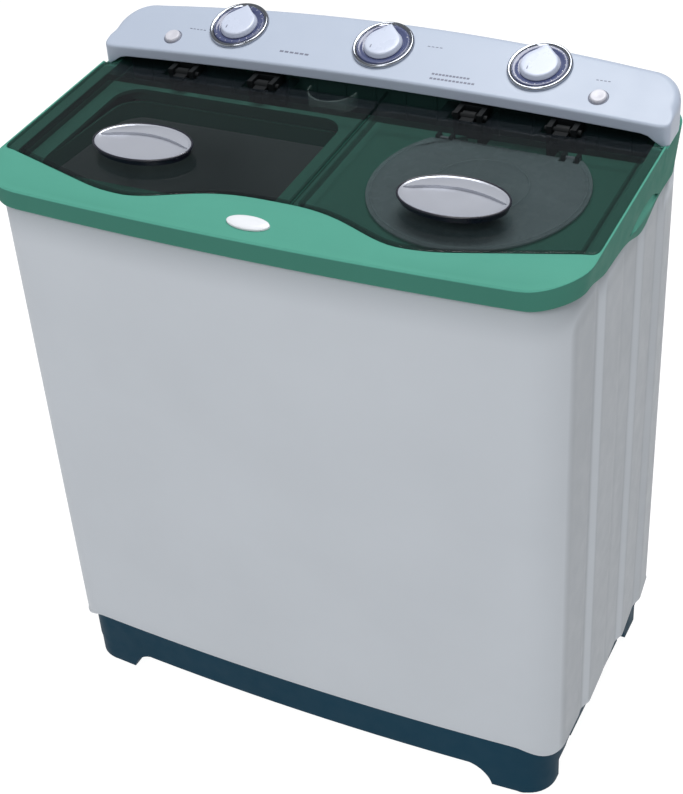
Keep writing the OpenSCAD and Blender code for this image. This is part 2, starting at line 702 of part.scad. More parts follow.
module wash_lid() {
    color([0.16, 0.27, 0.25, 0.8]) on_lids() mirror([1, 0, 0]) lid_body(-mid_x + lid_gap / 2);
}
module spin_lid() {
    color([0.16, 0.27, 0.25, 0.8]) on_lids() lid_body(mid_x + lid_gap / 2);
}
module hinge_pair() {
    for (x = hinge_xs) difference() {
        union() {
            for (s = [-1, 1]) block(x + s * 16 - 3.5, x + s * 16 + 3.5, hinge_y - 9, hinge_y + 12, trough_z, 6);
            block(x - 19.5, x + 19.5, hinge_y + 12, hinge_y + 22, trough_z, 6);
        }
        along_x(x - 30, x + 30, hinge_y, -lid_t / 2, pin_r + run);
    }
}
module wash_hinges() { color([0.12, 0.13, 0.14]) on_lids() mirror([1, 0, 0]) hinge_pair(); }
module spin_hinges() { color([0.12, 0.13, 0.14]) on_lids() hinge_pair(); }
module handle_shell(x) {
    on_lids() translate([x, handle_y, 0]) difference() {
        union() {
            linear_extrude(9) polygon(ellipse(0, 0, handle_a - 4, handle_b - 4));
            translate([0, 0, 9]) linear_extrude(6) polygon(ellipse(0, 0, handle_a, handle_b));
        }
        translate([0, 0, 3]) linear_extrude(20) polygon(ellipse(0, 0, handle_a - 6, handle_b - 6));
    }
}
module handle_dish(x) {
    on_lids() translate([x, handle_y, 0]) {
        // Floor, then the crescent ledge that the fingers reach under
        translate([0, 0, 3]) linear_extrude(2) polygon(ellipse(0, 0, handle_a - 6, handle_b - 6));
        translate([0, 0, 5]) linear_extrude(9) difference() {
            polygon(ellipse(0, 0, handle_a - 6, handle_b - 6));
            polygon(ellipse(0, 0, handle_a - 8, handle_b - 8));
        }
        translate([0, 0, 12.5]) linear_extrude(2) difference() {
            polygon(ellipse(0, 0, handle_a - 6, handle_b - 6));
            translate([0, -56]) circle(r = 76, $fn = 120);
        }
    }
}
module wash_handle() { color([0.10, 0.10, 0.14]) handle_shell(-handle_x); }
module spin_handle() { color([0.10, 0.10, 0.14]) handle_shell(handle_x); }
module wash_handle_dish() { color([0.85, 0.86, 0.88]) handle_dish(-handle_x); }
module spin_handle_dish() { color([0.85, 0.86, 0.88]) handle_dish(handle_x); }
module inner_lid() {
    color([0.40, 0.47, 0.48, 0.8]) on_lids() {
        difference() {
            union() {
                translate([spin_x, spin_y, inner_z - 3]) cylinder(r = inner_r, h = 3, $fn = 120);
                block(spin_x - 100, spin_x + 104, 20, inner_hinge_y, inner_z - 3, inner_z);
            }
            block(0, 400, inner_hinge_y, 200, -60, 0);
            for (s = [-1, 1]) block(spin_x + s * 84 - 13, spin_x + s * 84 + 13, inner_hinge_y - 8, 90, -60, 0);
        }
        for (s = [-1, 1]) {
            block(spin_x + s * 84 - 5, spin_x + s * 84 + 5, inner_hinge_y - 10, inner_hinge_y + 4, inner_z - 3, inner_z);
            along_x(spin_x + s * 84 - 11, spin_x + s * 84 + 11, inner_hinge_y + 4, inner_z - 1.5, 2.5);
        }
    }
}
module inner_lid_hinges() {
    color([0.30, 0.48, 0.44]) on_lids() for (s = [-1, 1], t = [-1, 1]) difference() {
        block(spin_x + s * 84 + t * 9 - 2.5, spin_x + s * 84 + t * 9 + 2.5,
              inner_hinge_y - 1, inner_hinge_y + 10, basin_z, inner_z + 4);
        along_x(spin_x - 120, spin_x + 120, inner_hinge_y + 4, inner_z - 1.5, 2.5 + run);
    }
}

base();
foot_pads();
cabinet();
back_cover();
screws();
top_frame();
badge();
wash_tub();
spin_case();
console();
console_back();
wash_timer();
mode_switch();
spin_timer();
wash_bezel();
mode_bezel();
spin_bezel();
wash_dial();
mode_dial();
spin_dial();
wash_knob();
mode_knob();
spin_knob();
left_button();
right_button();
pulsator();
pulsator_screw();
wash_bearing();
wash_shaft();
wash_pulley();
drive_belt();
motor_pulley();
wash_motor();
spin_basket();
spin_shaft();
brake_drum();
brake_lever();
spin_motor();
motor_springs();
shaft_seal();
drain_body();
drain_plug();
drain_spout();
inlet_spout();
fill_cup();
lint_filter();
cord_gland();
capacitor();
wash_lid();
wash_handle();
wash_handle_dish();
spin_lid();
spin_handle();
spin_handle_dish();
inner_lid();
inner_lid_hinges();
wash_hinges();
spin_hinges();
console_clips();
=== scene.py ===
"""Looks of a twin tub washer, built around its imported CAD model.

Lengths are millimetres until a mesh is made.
"""

import json
from math import acos, asin, atan, cos, degrees, exp, hypot, pi, radians, sin, sqrt, tan

import bmesh
import bpy
import numpy as np
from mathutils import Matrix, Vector

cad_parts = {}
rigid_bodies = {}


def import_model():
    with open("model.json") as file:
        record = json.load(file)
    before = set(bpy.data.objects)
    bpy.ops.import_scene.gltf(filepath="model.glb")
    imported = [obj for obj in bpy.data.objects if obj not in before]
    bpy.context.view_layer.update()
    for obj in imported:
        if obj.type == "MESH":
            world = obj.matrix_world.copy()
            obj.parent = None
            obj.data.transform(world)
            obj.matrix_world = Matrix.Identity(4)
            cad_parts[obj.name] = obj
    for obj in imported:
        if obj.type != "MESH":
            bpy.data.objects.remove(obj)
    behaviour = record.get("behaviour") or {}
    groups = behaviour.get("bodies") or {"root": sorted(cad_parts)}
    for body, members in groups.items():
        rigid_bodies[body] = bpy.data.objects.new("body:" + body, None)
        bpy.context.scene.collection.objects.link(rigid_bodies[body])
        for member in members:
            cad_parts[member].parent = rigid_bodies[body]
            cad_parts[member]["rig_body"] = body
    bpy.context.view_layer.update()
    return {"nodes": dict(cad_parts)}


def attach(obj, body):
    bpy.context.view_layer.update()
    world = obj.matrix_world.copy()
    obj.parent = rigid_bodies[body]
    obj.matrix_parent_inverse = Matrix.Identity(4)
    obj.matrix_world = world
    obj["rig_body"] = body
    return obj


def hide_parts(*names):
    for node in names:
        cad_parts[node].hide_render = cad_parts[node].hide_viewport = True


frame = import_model()
MM = 0.001
STILL = "cabinet_body"    # the body that carries all that does not move

# ---- Driving dimensions ----
BOW = 15.0            # how far the middle of the front stands ahead of its ends
CAB_HALF = 390.0
CAB_FRONT = -211.0
CAB_BACK = 211.0
CORNER_R = 55.0
CAB_LOW = 84.0
CAB_LOW_FRONT = 106.0
WALL = 3.0
REAR_HALF = 346.0     # half the width of the opening behind the back cover
TOP_HALF = 407.0
FRAME_FRONT = -219.0
FRAME_BACK = 214.0
FRAME_R = 62.0
FRAME_REAR_R = 60.0
LID_Z = 865.1         # height of the lids' top plane over the middle of the machine
LID_SLOPE = radians(4.6)
LID_T = 4.0
LID_MID = 156.0
LOBE_X = 188.0
LOBE_DEPTH = 43.0
LOBE_RISE = 0.303     # slope of the lids' front edge outside its lobes
LOBE_SLOPE = degrees(atan(LOBE_RISE))
LID_SIDE = 404.0
LID_CORNER = 10.0
SEAT = -6.0           # where the lids lie, from their top plane
DECK = -24.0          # the deck round the tubs, from the same plane
BASIN_SIDE = 388.0
UNDER_CONSOLE_Y = 98.0
SCOOP_Y, SCOOP_Z = 40.0, 807.0
HINGE_Y = 100.0
HINGE_XS = (150.0, 275.0)
MID_X = 25.0
LID_GAP = 3.0
CON_Y = 114.0
CON_Z = 899.0
CON_TILT = radians(22)
CON_LEN = 107.0
CON_FRONT_BOW = 11.0
CON_BACK_BOW = 26.0
CON_R = 48.0
FASCIA_Y = 134.0
KNOB_UP = 56.0
BEZEL_R = 42.5
DIAL_R = 36.0
KNOB_R = 24.0
BUTTON_UP = 20.0
SPIN_X, SPIN_Y = 212.0, -26.0
WASH_X, WASH_Y = -190.0, -33.0
PULSATOR_Z = 310.0
HANDLE_X, HANDLE_Y = 214.0, -103.0
HANDLE_A, HANDLE_B = 71.0, 44.5
BADGE_AT = (-4.0, -208.0, 847.4)
BADGE_TILT = radians(17)
INNER_R = 137.0
INNER_Z = -19.0
INNER_HINGE_Y = 66.0
INNER_EAR_X = 84.0
SPRING_AT = 82.0      # from the spin motor's axis


# ---- Frames of reference ----
def on_lids(x, y, z=0.0):
    """A point given along the lids' plane."""
    c, s = cos(LID_SLOPE), sin(LID_SLOPE)
    return (x, y * c - z * s, LID_Z + y * s + z * c)


def on_left_lid(x, y, z):
    return on_lids(-x, y, z)


def on_panel(x, up, z=0.0):
    """A point given on the console's sloping face."""
    c, s = cos(CON_TILT), sin(CON_TILT)
    return (x, CON_Y + up * c - z * s, CON_Z + up * s + z * c)


def upright(x, y, z):
    return (x, y, z)


def lid_plane_z(y, z=0.0):
    """World height of the lids' plane at a world y, z above it."""
    return LID_Z + y * tan(LID_SLOPE) + z / cos(LID_SLOPE)


def panel_z(y, z=0.0):
    return CON_Z + (y - CON_Y) * tan(CON_TILT) + z / cos(CON_TILT)


def smooth(t):
    t = min(max(t, 0.0), 1.0)
    return t * t * (3 - 2 * t)


def lerp(a, b, t):
    return a + (b - a) * t


# ---- Outlines ----
def arc(cx, cy, r, a0, a1, n):
    """Points along an arc, angles in degrees."""
    angles = [radians(lerp(a0, a1, i / n)) for i in range(n + 1)]
    return [(cx + r * cos(a), cy + r * sin(a)) for a in angles]


def front_y(x, half, yf):
    return yf - BOW * (1 - (x / half) ** 2)


def front_half(half, yf, r, n_front=28, n_arc=16):
    """Right half of a bowed front line and the round corner after it."""
    s = atan(2 * BOW * (half - r) / (half * half))
    xt = half - r + r * sin(s)
    cy = front_y(xt, half, yf) + r * cos(s)
    line = [(xt * i / n_front, front_y(xt * i / n_front, half, yf)) for i in range(n_front)]
    return line + arc(half - r, cy, r, -90 + degrees(s), 0, n_arc)


def closed_plan(half, yf, yb, r, rb, side_ys=()):
    """Closed plan, anticlockwise from the middle of the front."""
    right = front_half(half, yf, r)
    right += [(half, y) for y in side_ys if right[-1][1] + 1 < y < yb - rb - 1]
    right += arc(half - rb, yb - rb, rb, 0, 90, 6 if rb < 20 else 18)
    rear = [(lerp(half - rb, 0, i / 10), yb) for i in range(1, 11)]
    right += rear
    left = [(-x, y) for x, y in reversed(right) if x > 1e-6]
    return right + left


def cabinet_plan(grow, side_ys=()):
    front, back = CAB_FRONT - grow, CAB_BACK + min(grow, 0)
    return closed_plan(CAB_HALF + grow, front, back, CORNER_R + grow, 8, side_ys)


def lid_front(x):
    """Front edge of the lids: a wave with one lobe on each side."""
    u = abs(x)
    if u < LOBE_X:
        return -LID_MID - LOBE_DEPTH * (1 - cos(pi * (u / LOBE_X) ** 1.5)) / 2
    v = u - LOBE_X
    blend = 62.0
    rise = v * v / (2 * blend) if v < blend else v - blend / 2
    return -LID_MID - LOBE_DEPTH + LOBE_RISE * rise


def round_angles(n):
    return [2 * pi * i / n for i in range(n)]


def ellipse(a, b, n=96):
    return [(a * cos(t), b * sin(t)) for t in round_angles(n)]


def lengths(points):
    """Distance along a line at each of its points."""
    return np.r_[0, np.cumsum(np.linalg.norm(np.diff(points, axis=0), axis=1))]


def normals_2d(points, closed=True):
    """Outward normals of an anticlockwise outline."""
    pts = np.array(points, float)
    nxt = np.roll(pts, -1, axis=0)
    prv = np.roll(pts, 1, axis=0)
    if not closed:
        nxt[-1] = pts[-1]
        prv[0] = pts[0]
    d = nxt - prv
    d /= np.linalg.norm(d, axis=1)[:, None]
    return np.c_[d[:, 1], -d[:, 0]]


# ---- Mesh building ----
class Shape:
    """Vertices in millimetres and faces, gathered before they become one mesh."""

    def __init__(self):
        self.verts = []
        self.faces = []

    def ring(self, points):
        start = len(self.verts)
        self.verts.extend(points)
        return list(range(start, start + len(points)))

    def join(self, a, b, closed=True):
        """Quads between two rings of equal length."""
        n = len(a)
        for i in range(n if closed else n - 1):
            j = (i + 1) % n
            self.faces.append((a[i], a[j], b[j], b[i]))

    def loft(self, rings, closed=True, cap_start=False, cap_end=False, around=False):
        rows = [self.ring(r) for r in rings]
        for a, b in zip(rows, rows[1:]):
            self.join(a, b, closed)
        if around:
            self.join(rows[-1], rows[0], closed)
        if cap_start:
            self.faces.append(tuple(reversed(rows[0])))
        if cap_end:
            self.faces.append(tuple(rows[-1]))
        return self

    def solid(self, rings):
        """Rings closed by a flat face at each end."""
        return self.loft(rings, cap_start=True, cap_end=True)

    def prism(self, outline, z0, z1, place=upright):
        rings = [[place(x, y, z) for x, y in outline] for z in (z0, z1)]
        return self.solid(rings)

    def block(self, x0, x1, y0, y1, z0, z1, place=upright):
        return self.prism([(x0, y0), (x1, y0), (x1, y1), (x0, y1)], z0, z1, place)

    def lathe(self, profile, centre, place, n=96, cap_start=False, cap_end=False):
        """A turned piece: profile is (radius, height) pairs, centre the place of its axis."""
        rings = []
        angles = round_angles(n)
        for r, z in profile:
            rings.append([place(centre[0] + r * cos(a), centre[1] + r * sin(a), z)
                          for a in angles])
        return self.loft(rings, cap_start=cap_start, cap_end=cap_end)

    def tube(self, path, radius, n=12, closed=False):
        """A round bar along points."""
        pts = [Vector(p) for p in path]
        rings = []
        up = Vector((0.03, 0.05, 1)).normalized()
        for i, p in enumerate(pts):
            before = pts[i - 1] if (closed or i) else p
            after = pts[(i + 1) % len(pts)] if (closed or i < len(pts) - 1) else p
            along = (after - before).normalized()
            side = along.cross(up).normalized()
            top = side.cross(along)
            rings.append([tuple(p + side * radius * cos(a) + top * radius * sin(a))
                          for a in round_angles(n)])
        return self.loft(rings, cap_start=not closed, cap_end=not closed, around=closed)


def fillet(profile, steps=4):
    """Rounds a profile: each point may carry a radius as its third number."""
    out = []
    for i, p in enumerate(profile):
        r = p[2] if len(p) > 2 else 0.0
        if r <= 0 or i in (0, len(profile) - 1):
            out.append((p[0], p[1]))
            continue
        here = Vector(p[:2])
        back = (Vector(profile[i - 1][:2]) - here)
        ahead = (Vector(profile[i + 1][:2]) - here)
        r = min(r, back.length * 0.49, ahead.length * 0.49)
        start = here + back.normalized() * r
        end = here + ahead.normalized() * r
        for k in range(steps + 1):
            t = k / steps
            q = start * (1 - t) ** 2 + here * 2 * t * (1 - t) + end * t * t
            out.append((q.x, q.y))
    return out


def add_object(name, data):
    obj = bpy.data.objects.new(name, data)
    bpy.context.scene.collection.objects.link(obj)
    return obj


def new_object(name, shape):
    mesh = bpy.data.meshes.new(name)
    mesh.from_pydata([tuple(c * MM for c in v) for v in shape.verts], [], shape.faces)
    mesh.validate()
    tidy_mesh(mesh)
    return add_object(name, mesh)


def tidy_mesh(mesh, merge=1e-6, flat=0.0):
    """Joins doubled vertices and turns every face outwards."""
    bm = bmesh.new()
    bm.from_mesh(mesh)
    bmesh.ops.remove_doubles(bm, verts=bm.verts, dist=merge)
    if flat:
        bmesh.ops.dissolve_limit(bm, angle_limit=radians(flat), verts=bm.verts, edges=bm.edges)
    bmesh.ops.recalc_face_normals(bm, faces=bm.faces)
    bm.to_mesh(mesh)
    bm.free()


def bake(obj):
    """Applies an object's modifiers."""
    graph = bpy.context.evaluated_depsgraph_get()
    mesh = bpy.data.meshes.new_from_object(obj.evaluated_get(graph))
    obj.modifiers.clear()
    obj.data = mesh
    return obj


def carve(obj, shape, operation="DIFFERENCE"):
    """Cuts a shape out of an object, or joins it, or keeps what is common."""
    cutter = new_object("cutter", shape)
    modifier = obj.modifiers.new("carve", "BOOLEAN")
    modifier.object = cutter
    modifier.operation = operation
    modifier.solver = "EXACT"
    bake(obj)
    bpy.data.objects.remove(cutter)
    return obj


def finish_piece(obj, body, slot, look, stands_for=(), bevel=0.0, segments=2, sharp=38,
                 thickness=0.0):
    """Material, rounded edges and shading, then its place on the frame."""
    obj.data.materials.clear()
    obj.data.materials.append(MATERIAL[look])
    obj.data.polygons.foreach_set("use_smooth", [True] * len(obj.data.polygons))
    if thickness:
        shell = obj.modifiers.new("shell", "SOLIDIFY")
        shell.thickness = thickness * MM
        shell.offset = -1
    if bevel:
        edge = obj.modifiers.new("edges", "BEVEL")
        edge.width = bevel * MM
        edge.segments = segments
        edge.limit_method = "ANGLE"
        edge.angle_limit = radians(sharp)
        edge.use_clamp_overlap = True
        weighted = obj.modifiers.new("normals", "WEIGHTED_NORMAL")
        weighted.keep_sharp = False
    else:
        obj.data.set_sharp_from_angle(angle=radians(sharp))
    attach(obj, body)
    if stands_for:
        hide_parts(*stands_for)
    return obj


def piece(name, shape, body, slot, look, stands_for=(), **finish):
    return finish_piece(new_object(name, shape), body, slot, look, stands_for, **finish)


def cad_copy(node, name=None):
    """A working copy of a CAD node's mesh, with its flat faces whole again."""
    mesh = frame["nodes"][node].data.copy()
    mesh.name = name or node + "_fine"
    tidy_mesh(mesh, 4e-6, 0.15)
    return add_object(mesh.name, mesh)


def body_of_node(node):
    return frame["nodes"][node]["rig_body"]


def refine(node, look, slot, bevel=0.8, segments=2):
    """Stands for a CAD node with the same shape, its edges rounded."""
    finish_piece(cad_copy(node), body_of_node(node), slot, look, [node], bevel=bevel, segments=segments)


def make_console_back():
    """The plate closing the console's back ends under the shell's rounded edge."""
    plate = cad_copy("console_back", "console_back_plate")
    carve(plate, Shape().block(-430, 430, -60, 220, -12.6, 60, on_panel))
    finish_piece(plate, STILL, "console_plastic", "back", ["console_back"], bevel=0.8)


# ---- Materials ----
def srgb(r, g, b):
    """Linear colour of an 8-bit display colour."""
    linear = [((c / 255 + 0.055) / 1.055) ** 2.4 if c > 10 else c / 255 / 12.92 for c in (r, g, b)]
    return tuple(linear) + (1.0,)


class Nodes:
    """A short way to build a material's node tree."""

    def __init__(self, name):
        self.material = bpy.data.materials.new(name)
        self.material.use_nodes = True
        self.tree = self.material.node_tree
        self.shader = self.tree.nodes["Principled BSDF"]
        coordinates = self.tree.nodes.new("ShaderNodeTexCoord")
        self.place = coordinates.outputs["Object"]
        self.facing = coordinates.outputs["Normal"]

    def add(self, kind, **settings):
        node = self.tree.nodes.new("ShaderNode" + kind)
        for key, value in settings.items():
            if key in node.inputs:
                node.inputs[key].default_value = value
            else:
                setattr(node, key, value)
        return node

    def link(self, a, b):
        self.tree.links.new(a, b)

    def noise(self, scale, detail=3.0, roughness=0.55, stretch=None):
        node = self.add("TexNoise", Scale=scale, Detail=detail, Roughness=roughness)
        where = self.place
        if stretch:
            mapping = self.add("Mapping", Scale=stretch)
            self.link(where, mapping.inputs["Vector"])
            where = mapping.outputs["Vector"]
        self.link(where, node.inputs["Vector"])
        return node.outputs["Fac"]

    def ramp(self, value, stops):
        node = self.add("ValToRGB")
        elements = node.color_ramp.elements
        while len(elements) < len(stops):
            elements.new(0.5)
        for element, (at, colour) in zip(elements, stops):
            element.position = at
            element.color = colour
        self.link(value, node.inputs["Fac"])
        return node.outputs["Color"]

    def spread(self, value, low, high):
        node = self.add("MapRange")
        node.inputs["To Min"].default_value = low
        node.inputs["To Max"].default_value = high
        node.inputs["From Min"].default_value = 0.3
        node.inputs["From Max"].default_value = 0.7
        self.link(value, node.inputs["Value"])
        return node.outputs["Result"]

    def bump(self, height, strength, distance, before=None):
        node = self.add("Bump", Strength=strength, Distance=distance)
        self.link(height, node.inputs["Height"])
        if before is not None:
            self.link(before, node.inputs["Normal"])
        return node.outputs["Normal"]

    def paint_light_by_facing(self, axis, stops):
        """Paints light and shade into the colour: multiplies it by a factor that follows how far the surface
        faces along one axis.
        """
        parts = self.add("SeparateXYZ")
        self.link(self.facing, parts.inputs["Vector"])
        share = parts.outputs[axis]
        if axis == "X":
            either = self.add("Math", operation="ABSOLUTE")
            self.link(share, either.inputs[0])
            share = either.outputs["Value"]
        factor = self.ramp(share, [(at, (level, level, level, 1)) for at, level in stops])
        tint = self.add("VectorMath", operation="MULTIPLY")
        socket = self.shader.inputs["Base Color"]
        self.link(socket.links[0].from_socket, tint.inputs[0])
        self.link(factor, tint.inputs[1])
        self.link(tint.outputs["Vector"], socket)

    def set(self, name, value):
        self.shader.inputs[name].default_value = value


def shade(colour, factor):
    return tuple(min(1.0, c * factor) for c in colour[:3]) + (1.0,)


def plastic(name, colour, rough=0.35, mottle=0.04, grain=0.25, grain_scale=1100, waves=0.0, coat=0.0,
            specular=0.5):
    """Moulded plastic: faint flow mottling, a fine spark-eroded grain and slightly uneven gloss."""
    m = Nodes(name)
    tone = m.ramp(m.noise(5.0, 4.0), [(0.32, shade(colour, 1 - mottle)), (0.68, shade(colour, 1 + mottle))])
    m.link(tone, m.shader.inputs["Base Color"])
    m.link(m.spread(m.noise(38.0, 5.0), rough * 0.85, rough * 1.15), m.shader.inputs["Roughness"])
    normal = m.bump(m.noise(grain_scale, 2.0), grain, 0.00012)
    if waves:
        normal = m.bump(m.noise(7.0, 1.0), waves, 0.004, normal)
    m.link(normal, m.shader.inputs["Normal"])
    m.set("Specular IOR Level", specular)
    m.set("Coat Weight", coat)
    m.set("Coat Roughness", 0.08)
    return m


def smoked(name, colour, alpha, rough=0.06):
    """Clear tinted plastic, with a faint ripple from moulding."""
    m = Nodes(name)
    tone = m.ramp(m.noise(4.0, 2.0), [(0.3, shade(colour, 0.9)), (0.7, shade(colour, 1.1))])
    m.link(tone, m.shader.inputs["Base Color"])
    m.link(m.spread(m.noise(60.0, 3.0), rough * 0.8, rough * 1.3), m.shader.inputs["Roughness"])
    m.link(m.bump(m.noise(9.0, 1.0), 0.05, 0.002), m.shader.inputs["Normal"])
    m.set("Alpha", alpha)
    m.set("Specular IOR Level", 0.5)
    return m


def metal(name, colour, rough=0.2, brushed=None, grain=0.08, scale=400):
    """Bare or plated metal, brushed along one way if brushed says which."""
    m = Nodes(name)
    tone = m.ramp(m.noise(12.0, 4.0), [(0.3, shade(colour, 0.92)), (0.7, shade(colour, 1.06))])
    m.link(tone, m.shader.inputs["Base Color"])
    streaks = m.noise(scale, 3.0, 0.6, brushed)
    m.link(m.spread(streaks, rough * 0.7, rough * 1.4), m.shader.inputs["Roughness"])
    m.link(m.bump(streaks, grain, 0.0001), m.shader.inputs["Normal"])
    m.set("Metallic", 1.0)
    return m


def rubber(name, colour, rough=0.75):
    return plastic(name, colour, rough, 0.12, 0.5, 700, specular=0.3)


M = {
    "cabinet": plastic("cabinet_plastic", srgb(186, 191, 197), 0.48, 0.02, 0.22, 900,
                       waves=0.05, specular=0.14),
    "base": plastic("base_plastic", srgb(11, 52, 70), 0.55, 0.07, 0.3, 900, specular=0.08),
    "frame": plastic("frame_plastic", srgb(85, 156, 138), 0.6, 0.035, 0.2, 1000, specular=0.04),
    "console": plastic("console_plastic", srgb(158, 167, 182), 0.34, 0.015, 0.12, 1200, specular=0.3),
    "back": plastic("back_plastic", srgb(158, 164, 172), 0.5, 0.03, 0.3, 800),
    "tub": plastic("tub_plastic", srgb(150, 166, 166), 0.35, 0.03, 0.12, 900),
    "pulsator": plastic("pulsator_plastic", srgb(176, 186, 194), 0.3, 0.02, 0.12, 900),
    "dark": plastic("dark_plastic", srgb(12, 15, 17), 0.6, 0.1, 0.3, 900, specular=0.15),
    # A shaded copy of the frame's green: painted shade for the wall under the console's lip, also worn by
    # the inner lid's hinges.
    "shaded_frame_green": plastic("frame_green_painted_shade", srgb(22, 44, 42), 0.55, 0.08, 0.3, 900, specular=0.2),
    "box": plastic("box_plastic", srgb(70, 72, 76), 0.5, 0.06, 0.4, 800),
    "knob": plastic("knob_plastic", srgb(176, 183, 199), 0.28, 0.015, 0.06, 1500),
    "button": plastic("button_plastic", srgb(180, 180, 188), 0.3, 0.015, 0.06, 1500),
    "dial": plastic("dial_plastic", srgb(64, 71, 104), 0.24, 0.08, 0.1, 1200, coat=0.5),
    "badge": plastic("badge_plastic", srgb(206, 208, 212), 0.25, 0.01, 0.05, 1500, coat=0.4),
    # Grey ink for the captions and the knob marks; the ring round each push button wears it too, as painted
    # shade of the gap round the cap.
    "print_and_shade": plastic("print_ink_and_painted_shade", srgb(96, 100, 116), 0.5, 0.1, 0.1, 900),
    "rim": plastic("handle_plastic", srgb(16, 17, 32), 0.3, 0.1, 0.12, 1200, coat=0.2),
    "clip": plastic("clip_plastic", srgb(150, 164, 172), 0.35, 0.05, 0.1, 900),
    "rubber": rubber("rubber_black", srgb(26, 26, 28)),
    "belt": rubber("belt_rubber", srgb(22, 22, 24), 0.85),
    "lid": smoked("smoked_lid", srgb(10, 16, 19), 0.38),
    "inner": smoked("milky_lid", srgb(164, 190, 194), 0.5, 0.25),
    "cup": smoked("clear_cup", srgb(190, 214, 210), 0.3, 0.12),
    "dish": plastic("dish_silver", srgb(168, 171, 180), 0.24, 0.02, 0.04, 1200, specular=0.6),
    "chrome": metal("chrome", srgb(160, 164, 172), 0.12, None, 0.02),
    "steel": metal("steel", srgb(170, 172, 176), 0.3, (1, 1, 10), 0.1),
    "cast": metal("cast_grey", srgb(120, 124, 128), 0.5, None, 0.4, 300),
    "screw": metal("screw_steel", srgb(150, 152, 156), 0.32, None, 0.1),
    "brass": metal("zinc_yellow", srgb(176, 160, 110), 0.35, None, 0.15),
}
M["dish"].set("Metallic", 0.35)
# Painted light on the green frame: upright faces painted in deep shade, sloping faces such as the scoops'
# floors painted brightest, and upward faces a little darker than the slopes.
M["frame"].paint_light_by_facing("Z", ((0.04, 0.51), (0.2, 1.0), (0.5, 1.0), (0.8, 0.77)))
# Painted light on the cabinet: the flat side walls painted in shade, and the narrow facets that turn partly
# to the front painted as bright as the front.
M["cabinet"].paint_light_by_facing("X", ((0.94, 1.0), (0.995, 0.74)))
MATERIAL = {key: entry.material for key, entry in M.items()}


# ---- Cabinet and base ----
SIDE_STEPS = ((-160, 0.0), (-106, -0.4), (-97, -1.6), (-91, -1.6), (-75, 4.6), (-10, 2.4), (-4, 1.4),
              (3, 2.2), (44, -0.2), (54, -0.8), (71, 4.8), (126, 0.6), (136, -0.4), (157, 4.8),
              (203, 0.0))
LOWER_ROLL = ((2.2, 2.6), (0.7, 1.6), (0.0, 0.4), (0.9, -0.5), (2.6, -0.9), (4.6, -0.3), (6.5, 0.0))


def side_relief(y):
    """The side walls step out in facets that face the front, each tapering off towards the back."""
    ys = [p[0] for p in SIDE_STEPS]
    outs = [p[1] for p in SIDE_STEPS]
    return sum(float(np.interp(y + d, ys, outs)) for d in (-2, -1, 0, 1, 2)) / 5


def cabinet_low(x, y):
    """Height of the cabinet's lower edge round its plan."""
    t = smooth((abs(x) - (CAB_HALF - CORNER_R)) / CORNER_R) if y < 0 else 1.0
    return lerp(CAB_LOW_FRONT, CAB_LOW, t)


def make_cabinet():
    ys = [-158 + 2.6 * i for i in range(140)]
    plan = cabinet_plan(0, [y for y in ys if y < 200])
    rear = [i for i, p in enumerate(plan) if p[1] > CAB_BACK - 0.5 and abs(p[0]) < 350]
    plan = plan[rear[-1] + 1:] + plan[:rear[0]]
    plan = [(-REAR_HALF, CAB_BACK)] + plan + [(REAR_HALF, CAB_BACK)]
    out = normals_2d(plan, closed=False)
    points = []
    for lift, inset in LOWER_ROLL:
        points.append([place_wall(p, n, cabinet_low(*p) + lift, inset) for p, n in zip(plan, out)])
    for share in (0.02, 0.05, 0.12, 0.25, 0.4, 0.55, 0.7, 0.82, 0.92, 1.0):
        points.append([place_wall(p, n, lerp(cabinet_low(*p) + 6.5, wall_top(p), share), 0.0)
                       for p, n in zip(plan, out)])
    shape = Shape().loft(points, closed=False)
    piece("cabinet_shell", shape, STILL, "cabinet_plastic", "cabinet", ["cabinet"],
          thickness=WALL, sharp=50)


def wall_top(point):
    """The walls end inside the top frame, but under its rounder corners at the back."""
    return 803.0 if point[1] > 150 else 814.0


def make_corner_plates():
    plates = Shape()
    for side in (-1, 1):
        corner = [(348, 160), (389.5, 160), (389.5, 203)] + arc(382, 203, 7.5, 0, 90, 6) + [(348, 210.5)]
        outline = [(side * x, y) for x, y in corner]
        plates.prism(outline, 799.5, 803.2)
    piece("corner_plates", plates, STILL, "cabinet_plastic", "cabinet", bevel=0.6)


def place_wall(point, normal, z, inset):
    x, y = point
    side = abs(normal[0]) > 0.999
    out = side_relief(y) if side else 0.0
    return (x + normal[0] * (out - inset), y + normal[1] * (out - inset), z)


def make_base():
    base = cad_copy("base", "base_moulding")
    # The feet's edges curve up into the skirt along the sides too
    for y0, y1 in ((-150, -105), (103, 135)):
        carve(base, side_arch(y0, y1))
    finish_piece(base, STILL, "base_plastic", "base", ["base"], bevel=1.6, segments=3)


def side_arch(y0, y1):
    """Cutter for the quarter curve between a foot and the skirt, along the machine's sides."""
    if y0 < 0:
        profile = arc(y1, -3.0, 46.0, 180, 90, 10) + [(y1, -10), (y0 - 1, -10)]
    else:
        profile = arc(y0, -3.0, 46.0, 90, 0, 10) + [(y1 + 1, -10), (y0, -10)]
    rings = [[(x, y, z) for y, z in profile] for x in (-420.0, 420.0)]
    return Shape().solid(rings)


def make_foot_pads():
    pads = Shape()
    for x in (-338, 338):
        for y in (-180, 170):
            profile = fillet([(0.5, 0.6), (15.5, 0.6), (17, 0.0), (19.5, 0, 0.8), (20, 4.0)])
            pads.lathe(profile, (x, y), upright, 48)
            pads.lathe([(12.5, 0.4), (13.3, -0.0), (14.2, 0.4)], (x, y), upright, 48)
    piece("rubber_feet", pads, STILL, "rubber", "rubber", ["foot_pads"])


# ---- Top frame ----
def band_low(x, y):
    """Height of the top frame's lower edge: a belly under each carrying scoop."""
    corner = smooth((abs(x) - 345) / 62)
    if y < -165:
        return 811 + 4.5 * corner
    if y > FRAME_BACK - 24:
        return 803.5
    return 803.5 + 12 * smooth((-95 - y) / 66) - 17.5 * exp(-((y - 38) / 46) ** 2)


